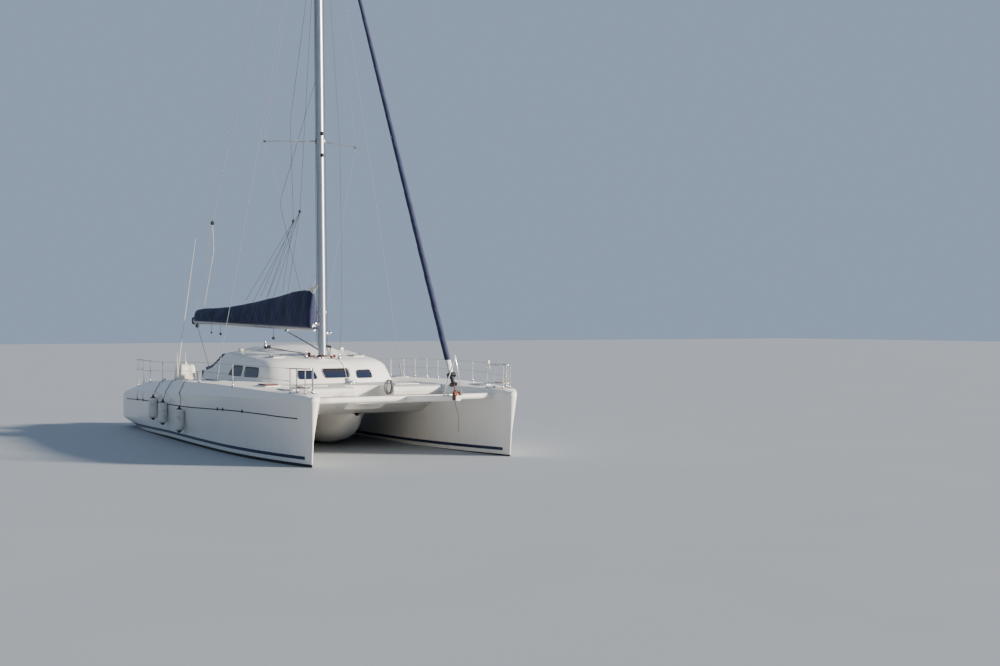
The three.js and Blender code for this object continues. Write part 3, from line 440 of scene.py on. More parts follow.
def mottled(name, dark, light, noise, share=None, gloss=None, relief=None, **sockets):
    """Two tones mixed by a noise of a scale and detail. Where asked, the noise's range from a low to
    a high value gives the second tone's share up to a most, it sets the roughness between two
    values, and a finer noise gives a relief."""
    material, tree, shader, place = new_finish(name, **sockets)
    scale, detail = noise
    patches = add_node(tree, "TexNoise", {"Scale": scale, "Detail": detail}, {"Vector": place})
    part = patches.outputs["Fac"]
    if share:
        low, high, most = share
        ranged = add_node(tree, "MapRange", {"From Min": low, "From Max": high, "To Max": most},
                          {"Value": part})
        part = ranged.outputs["Result"]
    tone = add_node(tree, "Mix", {"data_type": "RGBA", 6: dark, 7: light}, {0: part})
    tree.links.new(tone.outputs[2], shader.inputs["Base Color"])
    if gloss:
        rough = add_node(tree, "MapRange", {"To Min": gloss[0], "To Max": gloss[1]},
                         {"Value": patches.outputs["Fac"]})
        tree.links.new(rough.outputs["Result"], shader.inputs["Roughness"])
    if relief:
        wave_bump(tree, place, shader, *relief)
    return material


def nonslip(tree, place, shader, wave=None):
    """Pimples where the surface faces up: the distance to the nearest cell, times the share by which
    the surface looks up. Real pimples stand 4 mm apart; these are 14 mm apart so that they show."""
    shape = add_node(tree, "NewGeometry")
    upward = add_node(tree, "SeparateXYZ", links={"Vector": shape.outputs["Normal"]})
    level = add_node(tree, "MapRange", {"From Min": 0.93, "From Max": 0.97}, {"Value": upward.outputs["Z"]})
    pimples = add_node(tree, "TexVoronoi", {"Scale": 70.0}, {"Vector": place})
    relief = add_node(tree, "Math", {"operation": "MULTIPLY"},
                      {0: pimples.outputs["Distance"], 1: level.outputs["Result"]})
    under = {"Normal": wave.outputs["Normal"]} if wave else {}
    bump = add_node(tree, "Bump", {"Strength": 0.5, "Distance": 0.0015, "invert": True},
                    {"Height": relief.outputs["Value"], **under})
    tree.links.new(bump.outputs["Normal"], shader.inputs["Normal"])
    return level.outputs["Result"]


def hull_gelcoat():
    """Moulded gelcoat, polished: glossy white with slight waves, faint runs and scum by the water,
    a painted stripe above it, and non-slip pimples where the deck faces up."""
    material, tree, shader, place = new_finish(
        "moulded_gelcoat_with_boot_stripe", roughness=0.22, coat_weight=0.25, coat_roughness=0.08)
    apart = add_node(tree, "SeparateXYZ", links={"Vector": place})
    height, ahead = apart.outputs["Z"], apart.outputs["X"]
    # Real runs are 20 to 60 mm wide and fade out within a metre of the water.
    runs_place = add_node(tree, "Mapping", {"Scale": (5.0, 5.0, 0.5)}, {"Vector": place})
    runs = add_node(tree, "TexNoise", {"Scale": 1.0, "Detail": 5.0},
                    {"Vector": runs_place.outputs["Vector"]})
    low = add_node(tree, "MapRange", {"From Min": 0.75, "From Max": 0.1, "To Min": 0.02, "To Max": 0.12},
                   {"Value": height})
    worn = add_node(tree, "MapRange", {"From Min": 0.42, "From Max": 0.75}, {"Value": runs.outputs["Fac"]})
    dirt = add_node(tree, "Math", {"operation": "MULTIPLY"},
                    {0: worn.outputs["Result"], 1: low.outputs["Result"]})
    white = add_node(tree, "Mix", {"data_type": "RGBA", 6: colours().gelcoat, 7: colours().grime},
                     {0: dirt.outputs["Value"]})
    # The stripe dips aft on the starboard hull, and runs lower all along the port one.
    aft_dip = add_node(tree, "MapRange", {"From Min": -5.3, "From Max": -2.0, "To Min": 0.05, "To Max": 0.0},
                       {"Value": ahead})
    port_dip = add_node(tree, "MapRange", {"From Min": 0.2, "From Max": 6.0, "To Min": 0.1, "To Max": 0.027},
                        {"Value": ahead})
    on_port = add_node(tree, "Math", {"operation": "GREATER_THAN", 1: 0.0}, {0: apart.outputs["Y"]})
    dip = add_node(tree, "Mix", {}, {0: on_port.outputs["Value"], 2: aft_dip.outputs["Result"],
                                     3: port_dip.outputs["Result"]})
    level_z = add_node(tree, "Math", {"operation": "ADD"}, {0: height, 1: dip.outputs[0]})
    above = add_node(tree, "Math", {"operation": "GREATER_THAN", 1: sizes().boot_low},
                     {0: level_z.outputs["Value"]})
    below = add_node(tree, "Math", {"operation": "LESS_THAN", 1: sizes().boot_high},
                     {0: level_z.outputs["Value"]})
    behind = add_node(tree, "Math", {"operation": "LESS_THAN", 1: sizes().boot_end}, {0: ahead})
    band = add_node(tree, "Math", {"operation": "MULTIPLY"},
                    {0: above.outputs["Value"], 1: below.outputs["Value"]})
    stripe = add_node(tree, "Math", {"operation": "MULTIPLY"},
                      {0: band.outputs["Value"], 1: behind.outputs["Value"]})
    striped = add_node(tree, "Mix", {"data_type": "RGBA", 7: colours().boot_stripe},
                       {0: stripe.outputs["Value"], 6: white.outputs[2]})
    under = add_node(tree, "Math", {"operation": "LESS_THAN", 1: sizes().antifoul_top},
                     {0: level_z.outputs["Value"]})
    painted = add_node(tree, "Mix", {"data_type": "RGBA", 7: colours().antifoul},
                       {0: under.outputs["Value"], 6: striped.outputs[2]})
    gloss = add_node(tree, "MapRange", {"To Min": 0.20, "To Max": 0.27}, {"Value": runs.outputs["Fac"]})
    dull = add_node(tree, "Mix", {3: 0.75}, {0: under.outputs["Value"], 2: gloss.outputs["Result"]})
    level = nonslip(tree, place, shader, wave_bump(tree, place, shader, 1.3, 2.0, 0.25, 0.004))
    rough = add_node(tree, "Mix", {3: 0.62}, {0: level, 2: dull.outputs[0]})
    tree.links.new(painted.outputs[2], shader.inputs["Base Color"])
    tree.links.new(rough.outputs[0], shader.inputs["Roughness"])
    return material


def cabin_gelcoat():
    """Moulded gelcoat on the cabin: satin from the sun, warm white, with faint weathering."""
    return mottled("moulded_gelcoat", colours().gelcoat, colours().grime, (2.2, 6.0),
                   share=(0.5, 0.8, 0.16), gloss=(0.24, 0.42), relief=(1.6, 2.0, 0.2, 0.004),
                   roughness=0.3, coat_weight=0.2, coat_roughness=0.15)


def deck_gelcoat():
    """Deck moulding: non-slip pimples on what faces up, plain gelcoat on its sides."""
    material, tree, shader, place = new_finish("deck_gelcoat_with_nonslip", roughness=0.5)
    level = nonslip(tree, place, shader)
    weather = add_node(tree, "TexNoise", {"Scale": 1.4, "Detail": 7.0}, {"Vector": place})
    worn = add_node(tree, "MapRange", {"From Min": 0.4, "From Max": 0.8, "To Max": 0.3},
                    {"Value": weather.outputs["Fac"]})
    tone = add_node(tree, "Mix", {"data_type": "RGBA", 6: colours().gelcoat, 7: colours().grime},
                    {0: worn.outputs["Result"]})
    greyed = add_node(tree, "Mix", {"data_type": "RGBA", 7: hex_colour("#C6C5BF")},
                      {0: level, 6: tone.outputs[2]})
    tree.links.new(greyed.outputs[2], shader.inputs["Base Color"])
    rough = add_node(tree, "MapRange", {"To Min": 0.3, "To Max": 0.65}, {"Value": level})
    tree.links.new(rough.outputs["Result"], shader.inputs["Roughness"])
    return material


def antifoul_paint():
    """Rolled antifouling: matt, rough, brown-black with slime in patches."""
    return mottled("rolled_antifouling", colours().antifoul, hex_colour("#3D382B"), (3.0, 8.0),
                   relief=(60.0, 6.0, 0.4, 0.002), roughness=0.85)


def tinted_acrylic_painted_reflection():
    """Smoked acrylic glazing: dark, smooth, slightly crazed at the surface. Its colour runs from navy low down to
    brown higher up, a painted reflection of the shore and sky.
    """
    material, tree, shader, place = new_finish(
        "smoked_acrylic", roughness=0.06, ior=1.49, coat_weight=0.4, coat_roughness=0.03)
    apart = add_node(tree, "SeparateXYZ", links={"Vector": place})
    # Painted reflection: navy below a height of 1.78 m, brown above 1.93 m, blended between.
    painted_reflection = add_node(tree, "MapRange", {"From Min": 1.78, "From Max": 1.93}, {"Value": apart.outputs["Z"]})
    tone = add_node(tree, "Mix", {"data_type": "RGBA", 6: hex_colour("#1B2438"), 7: hex_colour("#35261D")},
                    {0: painted_reflection.outputs["Result"]})
    tree.links.new(tone.outputs[2], shader.inputs["Base Color"])
    wave_bump(tree, place, shader, 4.0, 1.0, 0.08, 0.002)
    return material


def anodised_aluminium():
    """Extruded aluminium, anodised: grey metal with fine draw lines and a chalky bloom."""
    material, tree, shader, place = new_finish("anodised_aluminium", metallic=1.0, roughness=0.4)
    lines_place = add_node(tree, "Mapping", {"Scale": (180.0, 180.0, 0.6)}, {"Vector": place})
    lines = add_node(tree, "TexNoise", {"Scale": 1.0, "Detail": 3.0},
                     {"Vector": lines_place.outputs["Vector"]})
    bloom = add_node(tree, "TexNoise", {"Scale": 2.5, "Detail": 5.0}, {"Vector": place})
    tone = add_node(tree, "Mix", {"data_type": "RGBA", 6: hex_colour("#A7ABAF"), 7: hex_colour("#C8CACB")},
                    {0: bloom.outputs["Fac"]})
    tree.links.new(tone.outputs[2], shader.inputs["Base Color"])
    gloss = add_node(tree, "MapRange", {"To Min": 0.32, "To Max": 0.5}, {"Value": lines.outputs["Fac"]})
    tree.links.new(gloss.outputs["Result"], shader.inputs["Roughness"])
    bump = add_node(tree, "Bump", {"Strength": 0.15, "Distance": 0.001}, {"Height": lines.outputs["Fac"]})
    tree.links.new(bump.outputs["Normal"], shader.inputs["Normal"])
    return material


def polished_stainless():
    """Polished stainless tube, with tea-coloured bloom in patches."""
    return mottled("polished_stainless", hex_colour("#CDD0D2"), hex_colour("#A98F70"), (6.0, 6.0),
                   share=(0.56, 0.75, 0.6), gloss=(0.12, 0.34), metallic=1.0, roughness=0.18)


def rusted_steel():
    """Galvanised fitting gone to rust."""
    return mottled("rusted_galvanised_steel", hex_colour("#5A3524"), hex_colour("#93553A"), (40.0, 8.0),
                   relief=(90.0, 6.0, 0.5, 0.002), metallic=0.3, roughness=0.8)


def cast_bronze():
    """Cast bronze under water: brown-gold, dull, with darker growth."""
    return mottled("cast_bronze", hex_colour("#8C6A3C"), hex_colour("#4E4632"), (12.0, 6.0),
                   relief=(40.0, 4.0, 0.2, 0.001), metallic=1.0, roughness=0.45)


def moulded_black():
    """Moulded black nylon and rubber: satin, greyed by the sun."""
    return mottled("moulded_black_nylon", hex_colour("#17181A"), hex_colour("#303133"), (9.0, 5.0),
                   relief=(150.0, 3.0, 0.2, 0.0006), roughness=0.55)


def woven(name, dark, light, thread, roughness, sheen):
    """Plain-woven cloth: two crossed waves of the thread's spacing, faded in patches."""
    material, tree, shader, place = new_finish(name, roughness=roughness, sheen_weight=sheen)
    fade = add_node(tree, "TexNoise", {"Scale": 2.5, "Detail": 6.0}, {"Vector": place})
    tone = add_node(tree, "Mix", {"data_type": "RGBA", 6: dark, 7: light}, {0: fade.outputs["Fac"]})
    tree.links.new(tone.outputs[2], shader.inputs["Base Color"])
    across = add_node(tree, "TexWave", {"bands_direction": "X", "Scale": 1 / thread / np.pi},
                      {"Vector": place})
    down = add_node(tree, "TexWave", {"bands_direction": "Z", "Scale": 1 / thread / np.pi},
                    {"Vector": place})
    weave = add_node(tree, "Math", {"operation": "ADD"},
                     {0: across.outputs["Fac"], 1: down.outputs["Fac"]})
    bump = add_node(tree, "Bump", {"Strength": 0.25, "Distance": 0.001},
                    {"Height": weave.outputs["Value"]})
    tree.links.new(bump.outputs["Normal"], shader.inputs["Normal"])
    return material


def navy_canvas():
    """Solution-dyed acrylic canvas: matt navy, faded in patches; threads drawn 9 mm apart to show."""
    return woven("navy_acrylic_canvas", colours().canvas, hex_colour("#1D2750"), 0.009, 0.85, 0.25)


def white_sailcloth():
    """Woven polyester sailcloth: off-white, crisp, with a slight shine; threads drawn 8 mm apart."""
    return woven("white_polyester_sailcloth", colours().sailcloth, hex_colour("#D5D2C6"), 0.008, 0.5, 0.1)


def braided(name, base, fleck, spacing):
    """Braided rope: a diagonal wave in both ways gives the plait's crossing strands."""
    material, tree, shader, place = new_finish(name, roughness=0.75)
    plait = add_node(tree, "TexWave", {"bands_direction": "DIAGONAL", "Scale": 1 / spacing},
                     {"Vector": place})
    share = add_node(tree, "MapRange", {"From Min": 0.75, "From Max": 0.95}, {"Value": plait.outputs["Fac"]})
    tone = add_node(tree, "Mix", {"data_type": "RGBA", 6: base, 7: fleck}, {0: share.outputs["Result"]})
    tree.links.new(tone.outputs[2], shader.inputs["Base Color"])
    bump = add_node(tree, "Bump", {"Strength": 0.5, "Distance": 0.002}, {"Height": plait.outputs["Fac"]})
    tree.links.new(bump.outputs["Normal"], shader.inputs["Normal"])
    return material


def pale_rope():
    """Braided polyester, off-white with a grey fleck."""
    return braided("pale_braided_polyester", hex_colour("#D8D3C4"), hex_colour("#8A8C8E"), 0.03)


def dark_rope():
    """Braided polyester, navy and black, weathered."""
    return braided("dark_braided_polyester", hex_colour("#2C2E36"), hex_colour("#5C5B57"), 0.03)


def steel_wire():
    """Stranded stainless wire: grey, with the lay of its strands."""
    return braided("stranded_stainless_wire", hex_colour("#6F7276"), hex_colour("#A3A6A8"), 0.02)


def fender_vinyl():
    """Blown vinyl: white, soft sheen, scuffed grey."""
    return mottled("blown_vinyl", hex_colour("#DEDBD2"), hex_colour("#8D887D"), (7.0, 8.0),
                   share=(0.5, 0.72, 0.5), relief=(25.0, 3.0, 0.2, 0.001), roughness=0.4)


def seat_vinyl():
    """Moulded seat skin: warm white with a fine leather grain."""
    material, tree, shader, place = new_finish("grained_seat_vinyl", roughness=0.45)
    grain = add_node(tree, "TexVoronoi", {"Scale": 160.0}, {"Vector": place})
    wear = add_node(tree, "TexNoise", {"Scale": 4.0, "Detail": 6.0}, {"Vector": place})
    tone = add_node(tree, "Mix", {"data_type": "RGBA", 6: hex_colour("#ECE8DE"), 7: hex_colour("#CFC8B8")},
                    {0: wear.outputs["Fac"]})
    tree.links.new(tone.outputs[2], shader.inputs["Base Color"])
    bump = add_node(tree, "Bump", {"Strength": 0.3, "Distance": 0.001}, {"Height": grain.outputs["Distance"]})
    tree.links.new(bump.outputs["Normal"], shader.inputs["Normal"])
    return material


def weathered_teak():
    """Bare teak slats, silvered: grain drawn along the slat."""
    material, tree, shader, place = new_finish("weathered_teak", roughness=0.7)
    grain_place = add_node(tree, "Mapping", {"Scale": (60.0, 4.0, 60.0)}, {"Vector": place})
    grain = add_node(tree, "TexNoise", {"Scale": 1.0, "Detail": 6.0},
                     {"Vector": grain_place.outputs["Vector"]})
    tone = add_node(tree, "Mix", {"data_type": "RGBA", 6: hex_colour("#7C5A3B"), 7: hex_colour("#B59B78")},
                    {0: grain.outputs["Fac"]})
    tree.links.new(tone.outputs[2], shader.inputs["Base Color"])
    bump = add_node(tree, "Bump", {"Strength": 0.4, "Distance": 0.001}, {"Height": grain.outputs["Fac"]})
    tree.links.new(bump.outputs["Normal"], shader.inputs["Normal"])
    return material


def pale_moulding():
    """Moulded off-white plastic: satin, a little yellowed."""
    return mottled("moulded_white_plastic", hex_colour("#E6E3DA"), hex_colour("#D2CCBC"), (8.0, 5.0),
                   relief=(120.0, 3.0, 0.15, 0.0005), roughness=0.38)


def red_canvas():
    """Acrylic canvas, dull red, faded; threads drawn 9 mm apart to show."""
    return woven("red_acrylic_canvas", hex_colour("#4A1D22"), hex_colour("#6B2F31"), 0.009, 0.85, 0.25)


def headsail_cloth():
    """The furled sail's cloth: its navy edge strip above, and bare off-white cloth at its foot."""
    material = woven("navy_edged_sailcloth", colours().canvas, hex_colour("#1D2750"), 0.009, 0.8, 0.2)
    tree = material.node_tree
    shader = tree.nodes["Principled BSDF"]
    navy = shader.inputs["Base Color"].links[0].from_socket
    place = add_node(tree, "TexCoord").outputs["Object"]
    apart = add_node(tree, "SeparateXYZ", links={"Vector": place})
    foot = add_node(tree, "Math", {"operation": "LESS_THAN", 1: 2.27}, {0: apart.outputs["Z"]})
    tone = add_node(tree, "Mix", {"data_type": "RGBA", 7: colours().sailcloth},
                    {0: foot.outputs["Value"], 6: navy})
    tree.links.new(tone.outputs[2], shader.inputs["Base Color"])
    return material


def net_webbing():
    """Knotted polyester cord of the trampolines, grey-white."""
    return braided("net_polyester", hex_colour("#B9B8B1"), hex_colour("#7D7C77"), 0.02)


def floor_paint():
    """Plain pale studio floor, matt, faintly mottled."""
    return mottled("pale_floor", colours().floor, hex_colour("#969DA3"), (0.3, 3.0), roughness=0.6)


# The boom's own frame: the pin at its origin, and the boom along -X.
def from_boom(points):
    """Points in the boom's frame, turned by the boom's swing and the mast's rake, then set on the pin."""
    points = np.asarray(points, float)
    c, s = np.cos(BOOM_YAW), np.sin(BOOM_YAW)
    swung = points @ np.array([[c, s, 0], [-s, c, 0], [0, 0, 1]])
    c, s = np.cos(MAST_RAKE), np.sin(MAST_RAKE)
    raked = swung @ np.array([[c, 0, s], [0, 1, 0], [-s, 0, c]])
    return raked + np.array(JOINTS["boom_swing"]["pos_m"])


def on_boom(along, across=0.0, above=0.0):
    """A point at a distance along the boom, beside and above its middle line."""
    return from_boom([[-along, across, along * BOOM_LIFT + above]])[0]


def on_mast(height, fore=0.0, across=0.0):
    """A point at a height on the mast, ahead of its middle and to port of it."""
    return np.array([MAST_FOOT[0] - (height - MAST_FOOT[2]) * np.tan(MAST_RAKE) + fore, across, height])


# Hulls.
# The columns are x, lean, keel z, bilge half, bilge z, sheer half, sheer z, deck half, deck z.
STATIONS = np.array([
    [-6.87, 0, 0.15, 0.725, 0.30, 0.735, 0.885, 0.70, 0.905],
    [-6.60, 0, 0.08, 0.735, 0.30, 0.765, 0.99, 0.705, 1.022],
    [-6.14, 0, -0.02, 0.735, 0.31, 0.775, 1.08, 0.67, 1.125],
    [-5.3, 0, -0.2, 0.74, 0.33, 0.79, 1.115, 0.61, 1.275],
    [-4.4, 0, -0.37, 0.745, 0.34, 0.795, 1.15, 0.60, 1.395],
    [-2.2, 0, -0.58, 0.745, 0.35, 0.80, 1.215, 0.61, 1.50],
    [0.0, 0, -0.62, 0.74, 0.35, 0.80, 1.27, 0.625, 1.56],
    [2.2, 0, -0.61, 0.70, 0.36, 0.78, 1.325, 0.635, 1.585],
    [3.9, 0.01, -0.56, 0.56, 0.40, 0.69, 1.37, 0.59, 1.575],
    [5.1, 0.03, -0.48, 0.36, 0.45, 0.52, 1.40, 0.45, 1.55],
    [5.9, 0.06, -0.37, 0.18, 0.50, 0.33, 1.425, 0.285, 1.53],
    [6.27, 0.09, -0.22, 0.075, 0.52, 0.205, 1.435, 0.17, 1.515],
    [6.43, 0.1, -0.09, 0.018, 0.54, 0.095, 1.40, 0.07, 1.47],
])
DECK_CAMBER = 0.025
STEPS = [(-5.75, 0.905), (-6.10, 0.66), (-6.45, 0.43)]
STEP_HALF = 0.47
NOSE_REACH = 0.7


def section_at(x):
    """The eased measures of a hull's section: lean, keel z, then half and z of bilge, sheer, deck."""
    return eased_table(STATIONS, np.atleast_1d(np.asarray(x, float))).T


def deck_edge(x):
    """The height of the deck's edge."""
    return float(section_at(x)[7][0])


def topside(x, z):
    """Half a hull's width at heights z of its topside, straight between its bilge and its sheer."""
    at = np.asarray(x, float) - section_at(x)[0] * z
    _, _, bilge, bilge_z, sheer, sheer_z, _, _ = section_at(at)
    return bilge + (sheer - bilge) * np.clip((z - bilge_z) / (sheer_z - bilge_z), 0, 1)


def hull_shape():
    """A hull skin: each section is a quarter ellipse, a straight topside, a chamfer and a cambered
    deck, its measures eased between the stations. The stem is the last section, drawn in by
    cos f across and pushed ahead by sin f of its own half width."""
    at = np.concatenate([np.linspace(STERN_X, 5.1, 96)[:-1], np.linspace(5.1, 6.43, 40)])
    rows = eased_table(STATIONS, at)
    lean, keel, bilge, bilge_z, sheer, sheer_z, deck, deck_z = (col[:, None] for col in rows.T)
    turn = np.linspace(0, np.pi / 2, 18)[None]
    y = [bilge * np.sin(turn)]
    z = [bilge_z - (bilge_z - keel) * np.cos(turn)]
    share = np.linspace(0, 1, 8)[None, 1:]
    y.append(bilge + (sheer - bilge) * share)
    z.append(bilge_z + (sheer_z - bilge_z) * share)
    share = np.linspace(0, 1, 4)[None, 1:]
    y.append(sheer + (deck - sheer) * share)
    z.append(sheer_z + (deck_z - sheer_z) * share)
    share = np.linspace(0, 1, 8)[None, 1:]
    y.append(deck * (1 - share))
    z.append(deck_z + DECK_CAMBER * (1 - (1 - share) ** 2))
    y, z = np.hstack(y), np.hstack(z)
    x = at[:, None] + lean * z
    edge = np.minimum(y[-1], np.where(z[-1] > rows[-1, 5], rows[-1, 6], y[-1]))
    bend = np.linspace(0, np.pi / 2, 8)[1:, None]
    nose_y = y[-1] * np.cos(bend)
    nose_x = x[-1] + np.maximum(edge, 0.012) * NOSE_REACH * np.sin(bend)
    x, y = np.vstack([x, nose_x]), np.vstack([y, nose_y])
    z = np.vstack([z, np.repeat(z[-1:], len(nose_y), axis=0)])
    half = np.stack([x, y, z], axis=-1)
    other = half[:, -2:0:-1] * np.array([1, -1, 1])
    return skin(np.concatenate([half, other], axis=1) + np.array([0, STARBOARD * HULL_Y, 0]))


# Where the rub line runs along the outer topside: x, height.
RUB_LINE = np.array([
    [-6.3, 0.83], [-5.65, 0.852], [-4.15, 0.89], [-1.76, 0.912], [-0.39, 0.931], [1.89, 0.999],
    [2.7, 1.026], [3.8, 1.046], [4.6, 1.046], [5.48, 1.03], [6.15, 1.02],
])
# Scupper flaps under the rub line: x.
SCUPPERS = [-5.02, -4.38, 2.34, 2.70, 3.84]
SCUPPER_HALF = (0.045, 0.010, 0.04)
SCUPPERS_WITH_TAILS = 2


def rub_line_shape(side):
    """A half-round strip of rubber, 30 mm high and 14 mm proud, that follows the topside."""
    x = np.linspace(RUB_LINE[0, 0], RUB_LINE[-1, 0], 140)
    z = eased_table(RUB_LINE, x)[:, 0]
    y = HULL_Y + topside(x, z)
    return ribbon(np.column_stack([x, side * y, z]), (0, side, 0), 0.015, 0.014)


def scupper_shapes(side):
    """Rubber flaps with their rims, one at each scupper, and a thin tail up from the aft two."""
    shapes = []
    for number, x in enumerate(SCUPPERS):
        z = float(eased_table(RUB_LINE, np.array([x]))[0, 0]) + 0.01
        y = side * (HULL_Y + float(topside(x, z)[0]) + 0.004)
        shapes.append(rounded_block((x, y, z), SCUPPER_HALF, power=2.6, rows=9, cols=14))
        if number < SCUPPERS_WITH_TAILS:
            top = side * (HULL_Y + float(topside(x + 0.05, 1.13)[0]) - 0.003)
            tail = [(x, y, z), (x + 0.02, (y + top) / 2, 1.02), (x + 0.05, top, 1.14)]
            shapes.append(sweep(tail, 0.005, 6))
    return shapes


class BOAT_OT_hulls(bpy.types.Operator):
    """Two hull shells with steps at their sterns, and a rub line along each outer side"""

    bl_idname = "boat.hulls"
    bl_label = "Hulls"

    def execute(self, context):
        shape = hull_shape()
        tools = [
            box_shape((STERN_X - 0.1, -HULL_Y - STEP_HALF, z), (x, -HULL_Y + STEP_HALF, 1.8))
            for x, z in STEPS
        ]
        ends = [x for x, _ in STEPS[1:]] + [STERN_X]
        treads = [
            plank
            for (fore, z), aft in zip(STEPS, ends)
            for plank in slats((aft + 0.03, -HULL_Y - 0.42), (fore - 0.03, -HULL_Y + 0.42), z, 0.012, 9)
        ]
        for name, side in SIDES.items():
            hull = piece(f"hull_shell_{name}", [placed(shape, side)], hull_gelcoat,
                         stands_for=[f"hull_{name}"], smooth_deg=24)
            cut_away(hull, [placed(tool, side) for tool in tools])
            hull.data.set_sharp_from_angle(angle=np.radians(24))
            piece(f"rub_line_{name}", [rub_line_shape(side)], moulded_black)
            piece(f"scuppers_{name}", scupper_shapes(side), moulded_black)
            piece(f"stern_treads_{name}", [placed(one, side) for one in treads], weathered_teak,
                  bevel=0.002)
        return {"FINISHED"}


class BOAT_OT_underwater(bpy.types.Operator):
    """Keels, rudders, drive legs and propellers"""

    bl_idname = "boat.underwater"
    bl_label = "Underwater gear"

    def execute(self, context):
        for name in SIDES:
            refined(f"keel_{name}", antifoul_paint, smooth_deg=50)
            refined(f"rudder_{name}", antifoul_paint, smooth_deg=50)
            refined(f"drive_leg_{name}", moulded_black, smooth_deg=40)
            refined(f"propeller_{name}", cast_bronze, smooth_deg=40, bevel=0.001)
        return {"FINISHED"}


# The pod under the bridgedeck. The columns are x, bottom z, half width.
POD = np.array([
    [-4.2, 0.83, 0.25], [-3.6, 0.60, 0.44], [-2.4, 0.23, 0.60], [-0.8, 0.04, 0.66],
    [1.22, 0.03, 0.62], [1.99, 0.12, 0.52], [2.57, 0.335, 0.37], [2.95, 0.60, 0.23], [3.23, 0.805, 0.06],
])
POD_TOP_Z = 0.90
POD_FLARE = 0.12


def pod_shape():
    """The pod's skin: flared sides above, and below them a half ellipse down to its bottom."""
    at = np.linspace(POD[0, 0], POD[-1, 0], 90)
    bottom, half = (col[:, None] for col in eased_table(POD, at).T)
    shoulder = bottom + (POD_TOP_Z - bottom) * 0.45
    turn = np.linspace(0, np.pi, 40)[None]
    y = half * np.cos(turn)
    z = bottom + (shoulder - bottom) * (1 - np.sin(turn))
    edge = np.full_like(half, POD_TOP_Z)
    y = np.hstack([half + POD_FLARE, y, -half - POD_FLARE])
    z = np.hstack([edge, z, edge])
    return skin(np.stack([np.broadcast_to(at[:, None], y.shape), y, z], axis=-1))


# Deck hatches let into the hulls' decks: x, half length, half width.
DECK_HATCHES = [(0.30, 0.34, 0.24), (5.02, 0.27, 0.17)]
HATCH_HIGH = 0.022
COVERED_HATCH = {"x": 3.72, "half_long": 0.30, "half_wide": 0.17, "high": 0.05}
TEAK_SOLE = {"aft": -4.37, "fore": -1.26, "half": 0.91, "z": 1.0}
# Cleats on the hulls' decks, as x and y, and the one ahead of the cabin.
CLEATS = [(5.35, 2.395), (-5.45, 2.92)]
FORE_CLEAT = (3.0, 0.0, 1.549)
LATCH = [(0, 0.03), (0.004, 0.03), (0.008, 0.022), (0.008, 0.0)]
LATCH_PLACE = np.array([3.05, 1.19, 1.5765])
WINDLASS = np.array([2.63, 0.0, 1.55])
WINDLASS_DRUM = [
    (0, 0.075), (0.02, 0.075), (0.024, 0.05), (0.07, 0.045), (0.095, 0.06), (0.12, 0.065),
    (0.135, 0.05), (0.14, 0.0),
]
# The roller at the sprit's tip, and the bow over it.
SPRIT_TIP = (8.40, 0.0, 1.575)
ROLLER = [(-0.075, 0.03), (-0.07, 0.052), (-0.05, 0.052), (-0.03, 0.035), (0.03, 0.035),
          (0.05, 0.052), (0.07, 0.052), (0.075, 0.03)]
SPRIT_BOW = [(8.36, -0.045, 1.545), (8.36, -0.05, 1.64), (8.385, 0.0, 1.665), (8.36, 0.05, 1.64),
             (8.36, 0.045, 1.545)]


def on_deck(x, across=0.0, side=STARBOARD):
    """A point of a hull's deck, a distance outboard of that hull's middle line."""
    row = section_at(x)
    half, edge = float(row[6][0]), float(row[7][0])
    rise = DECK_CAMBER * (1 - (across / half) ** 2)
    return np.array([x, side * (HULL_Y + across), edge + rise])


def cleat_shapes(foot, along=(1, 0, 0)):
    """A horn cleat: two turned legs under a bar whose radius falls off to its ends."""
    foot, along = np.asarray(foot, float), unit(np.asarray(along, float))
    legs = [turned([(0, 0.017), (0.01, 0.011), (0.045, 0.010)], foot + along * gap, (0, 0, 1), 12)
            for gap in (-0.035, 0.035)]
    at = np.linspace(-1, 1, 15)
    bar = lifted(foot, 0.05) + at[:, None] * along * 0.12
    bar[:, 2] += 0.012 * at**2
    return legs + [sweep(bar, 0.0115 * np.sqrt(np.clip(1.02 - at**2 * 0.85, 0.05, 1)), 10)]


def hatch_shapes(centre, half_long, half_wide, high):
    """A hatch's acrylic lid, crowned, and its rounded aluminium frame."""
    lid = rounded_block(lifted(centre, high * 0.5), (half_long, half_wide, high * 0.6),
                        power=7, rows=10, cols=44)
    corners = [(-half_long, -half_wide), (half_long, -half_wide), (half_long, half_wide),
               (-half_long, half_wide)]
    loop = rounded_loop(np.array(corners), 0.07)
    path = np.column_stack([loop, np.zeros(len(loop))]) + lifted(centre, 0.008)
    return [lid], [sweep(path, 0.012, 8, closed=True)]


